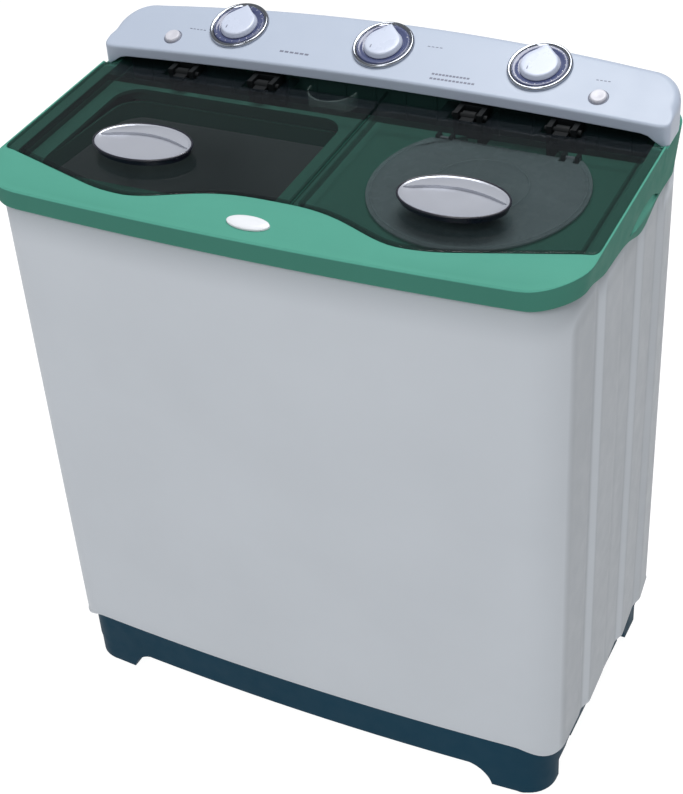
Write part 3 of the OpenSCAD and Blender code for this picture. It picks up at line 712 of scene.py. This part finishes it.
def lid_seam():
    """Line just outside the lids' edge on the right, from the middle to the end of their side."""
    edge = LID_SIDE + 1.2
    r = LID_CORNER + 1.2
    x_end = edge - r
    wave = [(x_end * i / 60, lid_front(x_end * i / 60) - 1.5) for i in range(60)]
    cy = lid_front(x_end) - 1.5 + r * cos(radians(LOBE_SLOPE))
    return wave + arc(x_end - 1.0, cy, r + 0.8, -90 + LOBE_SLOPE, 0, 8)


def basin_edge():
    """Line of the basin's wall under the lids on the right, to the start of its straight side."""
    r = 10.0
    x_end = BASIN_SIDE - r
    wave = [(x_end * i / 60, lid_front(x_end * i / 60) + 6) for i in range(60)]
    return wave + arc(x_end, lid_front(x_end) + 6 + r, r, -80, 0, 8)


def frame_columns():
    """Right half of the top frame's plan.

    Each column has its outline point, the normal there, its seam point and its basin point.
    """
    ys = [-158 + 3.0 * i for i in range(118)]
    plan = closed_plan(TOP_HALF, FRAME_FRONT, FRAME_BACK, FRAME_R, FRAME_REAR_R, ys)
    out = normals_2d(plan)
    half = [i for i, p in enumerate(plan) if p[0] > -1e-6 and i <= len(plan) // 2 + 1]
    ahead = [i for i in half if plan[i][1] < -130]
    seam = lid_seam()
    basin = basin_edge()
    steps = lengths(np.array([plan[i] for i in ahead]))
    shares = steps / steps[-1]
    seam_at = [at_share(seam, s) for s in shares]
    basin_at = [at_share(basin, s) for s in shares]
    columns = []
    for k, i in enumerate(half):
        p, n = plan[i], out[i]
        if i in ahead:
            columns.append((p, n, seam_at[k], basin_at[k]))
        elif p[1] < UNDER_CONSOLE_Y:
            columns.append((p, n, (LID_SIDE + 1.2, p[1]), (BASIN_SIDE, p[1])))
        else:
            seam_point, basin_point = [(p[0] - n[0] * d, p[1] - n[1] * d) for d in (8, 19)]
            columns.append((p, n, seam_point, basin_point))
    return columns


def at_share(points, share):
    """The point that lies a share of the way along a line."""
    pts = np.array(points, float)
    step = lengths(pts)
    return tuple(np.interp(share * step[-1], step, pts[:, k]) for k in range(2))


def frame_column(p, n, seam, basin):
    """Points of one column: from under the frame's skirt, over the top and down into the basin."""
    x, y = p
    under_console = y > UNDER_CONSOLE_Y
    corner = smooth((abs(x) - 335) / 72) if y < 0 else 1.0
    rear = smooth((y - 190) / 20)
    low = band_low(x, y)
    low_in = lerp(lerp(0.6, 7.0, corner), 1.0, rear)
    top_level = SEAT if under_console else -0.4
    top = lerp(839.0, lid_plane_z(y, top_level), corner)
    if under_console:
        top = lid_plane_z(y, SEAT)
    r = lerp(3.2, 1.0, corner)

    def out(inset, z):
        return (x - n[0] * inset, y - n[1] * inset, z)

    rows = [out(low_in + inset, low + z) for inset, z in ((10, 4), (1.4, 0), (0.4, 0.4), (0, 1.5))]
    for k in range(1, 15):
        t = k / 14
        rows.append(out(lerp(low_in, 0, t), lerp(low + 1.5, top - r, t)))
    for a in (20, 40, 60, 75, 90):
        s = radians(a)
        rows.append(out(r * (1 - cos(s)), top - r + r * sin(s)))
    start = rows[-1]
    seam_z = lid_plane_z(seam[1], top_level)
    width = hypot(start[0] - seam[0], start[1] - seam[1])
    for k in range(1, 9):
        t = k / 8
        crown = 0.055 * width * 4 * t * (1 - t) * (0 if under_console else 1)
        x_t, y_t = lerp(start[0], seam[0], t), lerp(start[1], seam[1], t)
        rows.append((x_t, y_t, lerp(start[2], seam_z, t) + crown))
    back = Vector((basin[0] - seam[0], basin[1] - seam[1], 0)).normalized()
    for step, drop in ((0.5, 0.25), (0.8, 0.9)):
        fall = drop * (0.1 if under_console else 1)
        rows.append((seam[0] + back.x * step, seam[1] + back.y * step, seam_z - fall))
    seat = lid_plane_z(seam[1], SEAT - 0.2)
    rows.append((seam[0] + back.x * 1.2, seam[1] + back.y * 1.2, seat))
    basin_z = lid_plane_z(basin[1], SEAT)
    rows.append((basin[0] - back.x * 1.2, basin[1] - back.y * 1.2, basin_z - 0.2))
    rows.append((basin[0], basin[1], basin_z - 1.4))
    for depth in (-12.0, -20.0, DECK - 6):
        rows.append((basin[0], basin[1], lid_plane_z(basin[1], depth)))
    return rows


def make_top_frame():
    right = [frame_column(*c) for c in frame_columns()]
    left = [[(-x, y, z) for x, y, z in column] for column in reversed(right)]
    columns = right[:-1] + left[:-1] if abs(right[-1][0][0]) < 1e-6 else right + left[:-1]
    obj = new_object("top_frame_rim", Shape().loft(columns, around=True))
    for side in (-1, 1):
        carve(obj, scoop_cutter(side))
    finish_piece(obj, STILL, "frame_plastic", "frame", ["top_frame"], sharp=32)


def scoop_cutter(side):
    """Lens-shaped finger scoop in the frame's side, its floor sloping down and out to the lip."""
    rings = []
    for depth, half, up, down in ((-12, 61, 19, 19), (0, 61, 19, 19), (1, 60.5, 18.8, 17), (3, 60, 18.4, 13),
                                  (5.5, 59, 17.8, 7), (8, 57, 16.6, -1), (9.6, 55, 15.6, -11)):
        turns = [cos(pi * k / 24) for k in range(24)]
        upper = [(SCOOP_Y + half * c, SCOOP_Z + up * (1 - c * c)) for c in turns]
        lower = [(SCOOP_Y - half * c, SCOOP_Z - down * (1 - c * c)) for c in turns]
        x = side * (TOP_HALF - depth)
        rings.append([(x, y, z) for y, z in upper + lower])
    return Shape().solid(rings)


def make_deck():
    """The deck inside the frame, with the two mouths, their collars and the trough, as the CAD has them."""
    deck = cad_copy("top_frame", "top_frame_deck")
    wave = [(x, lid_front(x) + 7) for x in np.linspace(-387, 387, 61)]
    keep = Shape().prism(wave + [(387, 142), (-387, 142)], -90, SEAT - 4, on_lids)
    carve(deck, keep, "INTERSECT")
    finish_piece(deck, STILL, "frame_plastic", "frame", ["top_frame"], bevel=1.2, segments=3)


def make_badge():
    """Blank oval plate, domed, on the slope in front of the lids."""
    badge = Shape()
    rings = []
    for grow, z in ((0.0, -2.0), (0.0, 1.0), (-0.5, 1.7), (-1.6, 2.1), (-5, 2.6), (-8, 2.8), (-10.4, 2.9)):
        rings.append([badge_point(x, y, z) for x, y in ellipse(29 + grow, 11 + grow)])
    badge.solid(rings)
    piece("oval_badge", badge, STILL, "badge_white", "badge", ["badge"], sharp=50)


def badge_point(x, y, z):
    c, s = cos(BADGE_TILT), sin(BADGE_TILT)
    return (x + BADGE_AT[0], BADGE_AT[1] + y * c - z * s, BADGE_AT[2] + y * s + z * c)


def make_back_cover():
    cover = cad_copy("back_cover", "back_panel")
    finish_piece(cover, STILL, "cabinet_plastic", "back", ["back_cover"], bevel=0.8)
    ribs = Shape()
    for x in range(-300, 301, 75):
        ribs.block(x - 9, x + 9, CAB_BACK - 1, CAB_BACK + 1.2, 290, 570)
    piece("back_panel_ribs", ribs, STILL, "cabinet_plastic", "back", bevel=1.0)


def cross_screw(shape, centre, place, r=4.0, height=2.4):
    """Domed screw head with a cross on it."""
    profile = fillet([(r, 0.0), (r, height * 0.35, 0.6), (r * 0.7, height * 0.85, 0.8), (r * 0.34, height),
                      (r * 0.3, height * 0.55)])
    shape.lathe(profile, centre, place, 28, cap_end=True)
    for a in (0, 90):
        s, c = sin(radians(a)), cos(radians(a))
        arm = [(u * c - v * s + centre[0], u * s + v * c + centre[1])
               for u, v in ((-r * 0.62, -0.45), (r * 0.62, -0.45), (r * 0.62, 0.45), (-r * 0.62, 0.45))]
        shape.prism(arm, height * 0.7, height * 1.02, place)


def make_screws():
    heads = Shape()
    for side in (-1, 1):
        for z in (140, 450, 760):
            cross_screw(heads, (side * 362, z), lambda x, v, w: (x, CAB_BACK + 2 + w, v))
        cross_screw(heads, (-99, 826), lambda y, v, w, s=side: (s * (398 + w), y, v), 4.0, 2.2)
    piece("screw_heads", heads, STILL, "screw_steel", "screw", ["screws"], sharp=45)


# ---- Console ----
def con_front(x):
    return CON_Y - CON_FRONT_BOW * (x / CAB_HALF) ** 2


def con_back(x):
    return CON_Y + CON_LEN * cos(CON_TILT) - CON_BACK_BOW * (x / CAB_HALF) ** 2


def console_plan():
    """Closed plan of the console, anticlockwise from the middle of the front."""
    half, r = TOP_HALF, CON_R
    xt = half - r
    cy = con_back(xt) - r
    right = [((half - 16) * i / 40, con_front((half - 16) * i / 40)) for i in range(41)]
    corner_y = con_front(half - 16)
    right += arc(half - 9, corner_y + 9.5, 9.0, -80, 0, 6)
    right += [(half, lerp(corner_y + 10, cy, i / 6)) for i in range(1, 6)]
    right += arc(half - r, cy, r, 0, 86, 20)
    right += [(xt * i / 24, con_back(xt * i / 24)) for i in range(23, -1, -1)]
    left = [(-x, y) for x, y in reversed(right) if x > 1e-6]
    return right + left


def console_low(x, y):
    """Height of the console's lower edge: a lip over the lids in front, down to the frame at its ends."""
    seat = lid_plane_z(y, SEAT)
    if y > con_front(x) + 12 or abs(x) > 399:
        return seat
    lip = panel_z(y) - 14
    end = 371.0
    r = 29.0
    d = abs(x) - end
    if d <= 0:
        return lip
    if d >= r:
        return seat
    return max(seat, lip - r + sqrt(r * r - d * d))


def make_console():
    plan = console_plan()
    out = normals_2d(plan)
    rear = [smooth((y - CON_Y - 4) / 22) for x, y in plan]
    rings = []
    inner = []
    for p, n, b in zip(plan, out, rear):
        r = lerp(3.0, 12.0, b)
        inner.append((p[0] - n[0] * (r + 10 * b + 3), p[1] - n[1] * (r + 10 * b + 3)))
    rings.append([(x, y, panel_z(y)) for x, y in inner])
    for a in range(0, 91, 15):
        ring = []
        for p, n, b in zip(plan, out, rear):
            r = lerp(3.0, 12.0, b)
            inset = r * (1 - sin(radians(a)))
            x, y = p[0] - n[0] * inset, p[1] - n[1] * inset
            ring.append((x, y, panel_z(y) - r * (1 - cos(radians(a)))))
        rings.append(ring)
    last = rings[-1]
    for share in (0.15, 0.35, 0.55, 0.75, 0.9, 1.0):
        ring = []
        for (x, y), q in zip(plan, last):
            ring.append((x, y, lerp(q[2], console_low(x, y), share)))
        rings.append(ring)
    shell = Shape().loft(rings, cap_start=True)
    piece("console_shell", shell, STILL, "console_plastic", "console", ["console"], thickness=2.8, sharp=40)


def make_fascia():
    """Upright wall under the console's lip, with shallow ribs; its dark, shaded copy of the frame's green is
    painted shade under the lip.
    """
    wall = Shape()
    wall.block(-384, 384, FASCIA_Y, FASCIA_Y + 3, 815, 903)
    for x in range(-352, 353, 44):
        wall.block(x - 2, x + 2, FASCIA_Y - 1.4, FASCIA_Y + 0.5, 826, 896)
    piece("fascia_wall", wall, STILL, "console_plastic", "shaded_frame_green", bevel=0.8)


def make_prints():
    """Short plain dashes where a machine has its printed captions."""
    marks = Shape()
    thin = ((-290, 40, 5, 3.4), (60, 66, 4, 3.6), (178, 72, 4, 3.6), (296, 48, 4, 3.2))
    thick = ((-140, 22, 6, 5.6), (84, 20, 11, 3.6), (84, 12, 12, 3.9))
    for rows, spacing, half in ((thin, 1.6, 0.7), (thick, 1.35, 1.5)):
        for x0, up, count, pitch in rows:
            for i in range(count):
                x = x0 + i * pitch * spacing
                marks.block(x, x + pitch, up - half, up + half, -0.1, 0.12, on_panel)
    piece("caption_dashes", marks, STILL, "console_plastic", "print_and_shade")


KNOBS = (("wash", -219.0), ("mode", 0.0), ("spin", 219.0))


def panel_disc(x, up):
    """Places local (x, y, height) round a point of the panel."""
    return lambda u, v, w: on_panel(x + u, up + v, w)


def make_bezel(name, x):
    ring = Shape()
    profile = fillet([(DIAL_R - 0.6, 1.6), (DIAL_R - 0.2, 2.8, 0.6), (37.8, 4.6, 1.6), (40.6, 5.0, 1.8),
                      (42.2, 2.6, 1.2), (BEZEL_R, -0.4)], 6)
    ring.lathe(profile, (0, 0), panel_disc(x, KNOB_UP), 128)
    piece(name + "_chrome_ring", ring, STILL, "chrome", "chrome", [name + "_bezel"], sharp=60)


def make_dial(name, x):
    """Violet ring round the knob, dished, with raised ticks."""
    disc = Shape()
    profile = fillet([(9, 1.9), (28, 1.9, 1.5), (31.5, 4.2, 2.5), (35.2, 4.4, 0.8), (36.2, 2.2)], 5)
    disc.lathe(profile, (0, 0), panel_disc(x, KNOB_UP), 128)
    piece(name + "_dial_ring", disc, STILL, "dial_blue", "dial", [name + "_dial"], sharp=50)
    ticks = Shape()
    count = 3 if name == "mode" else 16
    for i in range(count):
        a = radians(150 - i * 60 if name == "mode" else 135 - i * 18)
        u, v = cos(a), sin(a)
        long = 2.6 if i % 5 == 0 else 1.5
        corners = [(32.4 * u - 0.25 * v, 32.4 * v + 0.25 * u), (32.4 * u + 0.25 * v, 32.4 * v - 0.25 * u),
                   ((32.4 + long) * u + 0.25 * v, (32.4 + long) * v - 0.25 * u),
                   ((32.4 + long) * u - 0.25 * v, (32.4 + long) * v + 0.25 * u)]
        ticks.prism(corners, 3.6, 4.75, panel_disc(x, KNOB_UP))
    piece(name + "_dial_ticks", ticks, STILL, "badge_white", "badge")


def knob_outline(scale, reach):
    """Round cap with a teardrop pointer that reaches towards the top of the panel."""
    r = KNOB_R * scale
    lean = degrees(acos(r / reach))
    points = arc(0, 0, r, 90 + lean, 450 - lean, 64)
    left = points[0]
    right = points[-1]
    flank = [(lerp(right[0], 0, t), lerp(right[1], reach, t)) for t in (0.3, 0.6, 0.85)]
    flank2 = [(lerp(0, left[0], t), lerp(reach, left[1], t)) for t in (0.0, 0.15, 0.4, 0.7)]
    return points + flank + flank2


# How far inside the knob's radius, how far the pointer's tip reaches, and how high
KNOB_STEPS = ((-2.2, 26.8, 2.7), (-2.2, 26.8, 3.8), (-1.2, 26.0, 5.6), (-0.9, 26.0, 6.2),
              (-0.8, 33.4, 6.5), (-0.4, 33.8, 7.4), (0.4, 33.2, 8.7), (1.4, 32.0, 9.3),
              (3.0, 29.5, 9.5), (8.0, 24.0, 9.6))


def make_knob(name, x):
    cap = Shape()
    place = panel_disc(x, KNOB_UP)
    rings = []
    for inset, tip, z in KNOB_STEPS:
        outline = knob_outline((KNOB_R - inset) / KNOB_R, tip)
        rings.append([place(u, v, z) for u, v in outline])
    cap.solid(rings)
    cap.lathe([(3, -20), (3, 4)], (0, 0), place, 24, cap_start=True)
    piece(name + "_knob_cap", cap, name + "_knob", "knob_plastic", "knob", [name + "_knob"], sharp=34)
    mark = Shape()
    mark.block(-12.4, -11.0, -14.5, -9.0, 9.3, 9.72, place)
    piece(name + "_knob_mark", mark, name + "_knob", "handle_dark", "print_and_shade")


def make_button(name, x):
    """Push button: a dished cap, with a thin grey ring round it that paints the shade of the gap round the
    cap.
    """
    cap = Shape()
    place = panel_disc(x, BUTTON_UP)
    profile = fillet([(12.4, -8.0), (12.4, -6.5), (11, -6.5), (11, 2.2, 1.2), (9.6, 4.4, 1.6),
                      (6, 4.2, 2), (0.4, 3.4)], 5)
    cap.lathe(profile, (0, 0), place, 72, cap_start=True, cap_end=True)
    piece(name + "_push_cap", cap, name + "_button", "knob_plastic", "button", [name + "_button"], sharp=50)
    # Painted shade: a thin grey ring in place of the shadow in the gap round the cap.
    edge = fillet([(11.3, -0.5), (11.5, 0.4, 0.3), (12.8, 0.5, 0.4), (13.2, -0.3)], 4)
    ring = Shape().lathe(edge, (0, 0), place, 72)
    piece(name + "_button_ring", ring, STILL, "console_plastic", "print_and_shade", sharp=60)


# ---- Lids ----
def lid_plate(x0):
    """Outline of the right lid from its inner edge x0."""
    x_end = LID_SIDE - LID_CORNER
    front = [(lerp(x0, x_end, i / 60), lid_front(lerp(x0, x_end, i / 60))) for i in range(60)]
    cy = lid_front(x_end) + LID_CORNER * cos(radians(LOBE_SLOPE))
    side = arc(x_end, cy, LID_CORNER, -90 + LOBE_SLOPE, 0, 10)
    tail = arc(LID_SIDE - 8, 88, 8, 0, 90, 6) + arc(386, 100, 4, 270, 180, 4) + arc(378, 124, 4, 0, 90, 4)
    return front + side + tail + [(x0, 128)]


def lid_mesh(name, x0, place):
    """Plate of a lid, with notches for its hinges."""
    obj = new_object(name, Shape().prism(lid_plate(x0), -LID_T, 0, place))
    for x in HINGE_XS:
        carve(obj, Shape().block(x - 26, x + 26, HINGE_Y - 14, 150, -20, 10, place))
    carve(obj, Shape().block(-20, 108, HINGE_Y + 2, 150, -20, 10, place))
    return obj


def rim_line(x0, x1, back):
    xs = np.linspace(x0, x1, 41)
    return [(x, lid_front(x) + back) for x in xs] + [(x1, 80 - back), (x0, 80 - back)]


def make_lid(name, x0, flip):
    place = on_left_lid if flip else on_lids
    plate = lid_mesh(name + "_plate", x0, place)
    finish_piece(plate, name, "lid_tint", "lid", [name], bevel=1.3, segments=3)
    rim = Shape()
    outer = rim_line(x0 + 4, 384, 9)
    inner = rim_line(x0 + 6.4, 381.6, 11.4)
    rings = [[place(x, y, z) for x, y in line] for line, z in
             ((outer, -LID_T + 0.2), (outer, -11.6), (inner, -12.0), (inner, -LID_T + 0.2))]
    rim.loft(rings)
    piece(name + "_rim", rim, name, "lid_tint", "lid", sharp=40)
    knuckles = Shape()
    for x in HINGE_XS:
        knuckles.block(x - 9, x + 9, HINGE_Y - 16, HINGE_Y - 5, -LID_T + 0.2, -0.2, place)
        for a, b, r in ((x - 9, x + 9, 6.6), (x - 24, x + 24, 3.9)):
            knuckles.solid(axle(a, b, r, place))
    piece(name + "_knuckles", knuckles, name, "lid_tint", "dark", bevel=0.5)


def axle(x0, x1, r, place, y=HINGE_Y, z=-LID_T / 2, n=32):
    """Rings of a round bar along the machine's width."""
    return [[place(x, y + r * cos(a), z + r * sin(a)) for a in round_angles(n)]
            for x in (x0, x1)]


# How far inside the handle's outline, and how high above the lid
HANDLE_RIM = ((16.0, -0.2), (14.6, 1.2), (10.0, 5.0), (5.0, 8.8), (2.0, 10.8), (0.5, 11.7),
              (0.0, 12.6), (0.2, 13.9), (0.9, 14.8), (1.7, 15.0), (2.4, 14.6), (2.8, 13.6),
              (3.2, 11.0), (3.6, 5.0))
HANDLE_DISH = ((2.6, 13.7), (3.2, 14.2), (4.2, 13.8), (6.4, 12.8), (9, 12.0), (13, 11.3),
               (19, 10.8), (27, 10.5), (36, 10.4))


def handle_rings(profile, place):
    return [[place(u, v, w) for u, v in ellipse(HANDLE_A - o, HANDLE_B - o)] for o, w in profile]


def make_handle(side, body, x):
    """Oval cup on a lid: a dark rim round a silver dish, with a ledge at the back of it."""
    def place(u, v, w):
        return on_lids(x + u, HANDLE_Y + v, w)

    rim = Shape().loft(handle_rings(HANDLE_RIM, place))
    piece(side + "_handle_rim", rim, body, "handle_dark", "rim", [side + "_handle"], sharp=50)
    dish = Shape().loft(handle_rings(HANDLE_DISH, place), cap_end=True)
    piece(side + "_handle_dish_bowl", dish, body, "dish_silver", "dish", [side + "_handle_dish"], sharp=60)
    ledge = Shape()
    rings = []
    for grow, w in ((0.0, 10.4), (0.0, 11.4), (0.0, 12.8), (-0.5, 13.8), (-1.5, 14.3)):
        rings.append([place(u, v, w) for u, v in crescent(grow)])
    ledge.solid(rings)
    piece(side + "_handle_ledge", ledge, body, "dish_silver", "dish", sharp=40)


def crescent(grow):
    """Rear part of the dish, cut off by an arc that bulges to the back."""
    r = 76 - grow
    a, b = HANDLE_A - 5.5 + grow, HANDLE_B - 5.5 + grow
    line = [radians(lerp(4, 176, i / 40)) for i in range(41)]
    back = [(a * cos(t), b * sin(t)) for t in line]
    return back + [(u, front_arc(u, r)) for u in np.linspace(back[-1][0] + 1, back[0][0] - 1, 41)]


def front_arc(u, r):
    return max(19.0 - 0.0041 * u * u * 76 / r, 3.2)


def make_inner_lid():
    piece("inner_disc", inner_shape(), "inner_lid", "inner_tint", "inner", ["inner_lid"],
          bevel=0.9, segments=3)
    rings = Shape()
    for r in (INNER_R - 6, 62.0):
        profile = fillet([(r - 1.6, -0.1), (r - 1.0, 0.9, 0.5), (r + 1.0, 0.9, 0.5), (r + 1.6, -0.1)], 3)
        rings.loft(arc_rib(r, profile))
    piece("inner_disc_ribs", rings, "inner_lid", "inner_tint", "inner")
    pins = Shape()
    for s in (-1, 1):
        x = SPIN_X + s * INNER_EAR_X
        pin = axle(x - 11, x + 11, 2.4, on_lids, INNER_HINGE_Y + 4, INNER_Z - 1.5)
        pins.solid(pin)
    piece("inner_disc_pins", pins, "inner_lid", "inner_tint", "clip", bevel=0.4)


def arc_rib(r, profile):
    """Rings of a rib swept round the disc, an outer one stopping short of its straight edge."""
    limit = degrees(asin(min(1.0, (INNER_HINGE_Y - SPIN_Y - 12) / r)))
    if r > 90:
        angles = [radians(lerp(180 - limit, 360 + limit, i / 80)) for i in range(81)]
    else:
        angles = [2 * pi * i / 72 for i in range(73)]
    rows = []
    for radius, z in profile:
        rows.append([on_lids(SPIN_X + radius * cos(a), SPIN_Y + radius * sin(a), INNER_Z + z)
                     for a in angles])
    return [list(column) for column in zip(*rows)]


def inner_shape():
    """Disc cut straight along its hinge, with a notch at each ear."""
    top = INNER_HINGE_Y - SPIN_Y
    start = degrees(asin(top / INNER_R))
    points = [(SPIN_X + u, SPIN_Y + v) for u, v in arc(0, 0, INNER_R, 180 - start, 360 + start, 96)]
    edge = INNER_HINGE_Y
    for s in (1, -1):
        x = SPIN_X + s * INNER_EAR_X
        notch = [(x + s * 13, edge), (x + s * 13, edge - 8), (x + s * 5, edge - 8), (x + s * 5, edge + 3),
                 (x - s * 5, edge + 3), (x - s * 5, edge - 8), (x - s * 13, edge - 8), (x - s * 13, edge)]
        points += notch
    return Shape().prism(points, INNER_Z - 3, INNER_Z, on_lids)


# ---- Inside and underneath ----
INSIDE = (
    ("wash_tub", "tub", "tub_plastic", 1.5), ("spin_case", "tub", "tub_plastic", 1.0),
    ("console_clips", "clip", "clear_trim", 0.8),
    ("wash_timer", "box", "box_plastic", 1.2), ("mode_switch", "box", "box_plastic", 1.2),
    ("spin_timer", "box", "box_plastic", 1.2), ("pulsator_screw", "steel", "steel", 0.5),
    ("wash_bearing", "cast", "cast_grey", 1.2), ("wash_shaft", "steel", "steel", 0.6),
    ("wash_pulley", "cast", "cast_grey", 0.8), ("drive_belt", "belt", "rubber", 0.4),
    ("motor_pulley", "cast", "cast_grey", 0.6), ("wash_motor", "cast", "cast_grey", 1.5),
    ("spin_motor", "cast", "cast_grey", 1.5), ("spin_shaft", "steel", "steel", 0.6),
    ("brake_drum", "cast", "cast_grey", 0.8), ("brake_lever", "brass", "steel", 0.8),
    ("spin_basket", "tub", "tub_plastic", 0.6), ("shaft_seal", "rubber", "rubber", 0.6),
    ("drain_body", "tub", "tub_plastic", 0.8), ("drain_plug", "rubber", "rubber", 0.8),
    ("drain_spout", "box", "box_plastic", 0.6), ("inlet_spout", "clip", "clear_trim", 0.6),
    ("fill_cup", "cup", "clear_trim", 0.6), ("lint_filter", "clip", "clear_trim", 0.5),
    ("cord_gland", "rubber", "rubber", 0.8), ("capacitor", "badge", "badge_white", 1.2),
    ("inner_lid_hinges", "shaded_frame_green", "frame_plastic", 0.4), ("wash_hinges", "dark", "hinge_dark", 0.8),
    ("spin_hinges", "dark", "hinge_dark", 0.8),
)


def make_springs():
    """Coil springs over rubber sleeves, under the spin motor."""
    coils = Shape()
    sleeves = Shape()
    for a in (90, 210, 330):
        cx = SPIN_X + SPRING_AT * cos(radians(a))
        cy = SPIN_Y + SPRING_AT * sin(radians(a))
        path = []
        for k in range(6 * 20 + 1):
            t = k / 20
            turn = 2 * pi * t
            path.append((cx + 7.4 * cos(turn), cy + 7.4 * sin(turn), 46 + 48 * t / 6))
        coils.tube(path, 1.5, 8)
        sleeves.lathe([(5, 44), (5, 96)], (cx, cy), upright, 32, cap_start=True, cap_end=True)
    piece("motor_spring_coils", coils, STILL, "steel", "steel")
    piece("motor_spring_sleeves", sleeves, STILL, "rubber", "rubber", ["motor_springs"])


def in_wash_tub(u, v, w):
    return (WASH_X + u, WASH_Y + v, PULSATOR_Z + w)


def make_pulsator():
    """Wash disc: a crowned plate with six curved vanes."""
    disc = Shape()
    profile = fillet([(8, 0.2), (101, 0.2, 1), (104.6, 4, 2), (102, 8, 2), (60, 12, 12), (32, 20, 10),
                      (15, 25.6, 3), (7.4, 25.8)], 5)
    disc.lathe(profile, (0, 0), in_wash_tub, 120)
    piece("wash_disc", disc, "pulsator", "tub_plastic", "pulsator", ["pulsator"], sharp=50)
    vanes = Shape()
    for a in range(0, 360, 60):
        vanes.solid(vane_rings(a))
    piece("wash_disc_vanes", vanes, "pulsator", "tub_plastic", "pulsator", sharp=50)


def vane_rings(turn):
    rings = []
    for k in range(15):
        t = k / 14
        r = lerp(20, 95, t)
        a = radians(turn + 16 * t * t)
        width = lerp(7.5, 4.5, t)
        crest = lerp(22.4, 13.5, smooth(t))
        foot = 6.0
        ring = []
        for j in range(13):
            s = j / 12 * 2 - 1
            across = width * s
            height = foot + (crest - foot) * (1 - abs(s) ** 2.6)
            u = r * cos(a) - across * sin(a)
            v = r * sin(a) + across * cos(a)
            ring.append(in_wash_tub(u, v, height))
        rings.append(ring)
    return rings


# ---- Stage ----
CAMERA_AT = (861.8, -1583.2, 1726.5)
CAMERA_TURN = radians(28.85)
CAMERA_DOWN = radians(35.05)
CAMERA_ROLL = radians(-4.19)
LENS_MM = 70.64
FLOOR_REACH = 400.0   # metres, so that the floor ends at the horizon in every view


def make_camera():
    level = cos(CAMERA_DOWN)
    ahead = Vector((-sin(CAMERA_TURN) * level, cos(CAMERA_TURN) * level,
                    -sin(CAMERA_DOWN)))
    right = ahead.cross(Vector((0, 0, 1))).normalized()
    up = right.cross(ahead)
    rolled_right = right * cos(CAMERA_ROLL) + up * sin(CAMERA_ROLL)
    rolled_up = up * cos(CAMERA_ROLL) - right * sin(CAMERA_ROLL)
    camera = add_object("camera", bpy.data.cameras.new("camera"))
    camera.data.lens = LENS_MM
    camera.data.sensor_width = 36
    camera.data.clip_end = 1000
    matrix = camera.matrix_world.copy()
    for row in range(3):
        matrix[row][0] = rolled_right[row]
        matrix[row][1] = rolled_up[row]
        matrix[row][2] = -ahead[row]
        matrix[row][3] = CAMERA_AT[row] * MM
    camera.matrix_world = matrix
    bpy.context.scene.camera = camera


def area_light(name, at, target, size, power):
    light = bpy.data.lights.new(name, "AREA")
    light.shape = "RECTANGLE"
    light.size = size[0]
    light.size_y = size[1]
    light.energy = power
    obj = add_object(name, light)
    obj.location = at
    obj.rotation_euler = (Vector(target) - Vector(at)).to_track_quat("-Z", "Y").to_euler()


def make_floor():
    mesh = bpy.data.meshes.new("floor")
    corners = [(x * FLOOR_REACH, y * FLOOR_REACH, 0) for x, y in ((-1, -1), (1, -1), (1, 1), (-1, 1))]
    mesh.from_pydata(corners, [], [(0, 1, 2, 3)])
    floor = add_object("floor", mesh)
    m = Nodes("floor_white")
    tone = m.ramp(m.noise(0.6, 2.0), [(0.3, (0.12, 0.12, 0.12, 1)), (0.7, (0.14, 0.14, 0.14, 1))])
    m.link(tone, m.shader.inputs["Base Color"])
    m.set("Roughness", 0.7)
    m.set("Specular IOR Level", 0.1)
    m.set("Emission Color", (1, 1, 1, 1))
    m.set("Emission Strength", 0.97)
    mesh.materials.append(m.material)


def make_light():
    world = bpy.data.worlds.new("studio")
    bpy.context.scene.world = world
    world.use_nodes = True
    tree = world.node_tree
    background = tree.nodes["Background"]
    background.inputs["Color"].default_value = (0.93, 0.96, 1.0, 1)
    # White at the horizon, where the floor ends, and dim above it
    parts = tree.nodes.new("ShaderNodeSeparateXYZ")
    tree.links.new(tree.nodes.new("ShaderNodeTexCoord").outputs["Generated"], parts.inputs["Vector"])
    dimming = tree.nodes.new("ShaderNodeMapRange")
    for name, value in (("From Min", 0.02), ("From Max", 0.12), ("To Min", 1.08), ("To Max", 0.28)):
        dimming.inputs[name].default_value = value
    tree.links.new(parts.outputs["Z"], dimming.inputs["Value"])
    tree.links.new(dimming.outputs["Result"], background.inputs["Strength"])
    area_light("key", (0.1, -3.7, 3.4), (0, 0, 0.5), (1.8, 1.8), 62)
    area_light("top", (0.2, 0.6, 4.2), (0, 0, 0.5), (3.0, 2.2), 160)
    bpy.context.scene.view_settings.view_transform = "Standard"


# ---- Making ----
make_camera()
make_floor()
make_light()
make_cabinet()
make_corner_plates()
make_base()
make_foot_pads()
make_top_frame()
make_deck()
make_badge()
make_back_cover()
make_screws()
make_console()
make_console_back()
make_fascia()
make_prints()
for knob_name, knob_x in KNOBS:
    make_bezel(knob_name, knob_x)
    make_dial(knob_name, knob_x)
    make_knob(knob_name, knob_x)
make_button("left", -308.0)
make_button("right", 308.0)
make_lid("wash_lid", -MID_X + LID_GAP / 2, True)
make_lid("spin_lid", MID_X + LID_GAP / 2, False)
make_handle("wash", "wash_lid", -HANDLE_X)
make_handle("spin", "spin_lid", HANDLE_X)
make_inner_lid()
for node_name, look, slot_name, edge_mm in INSIDE:
    refine(node_name, look, slot_name, edge_mm)
make_springs()
make_pulsator()
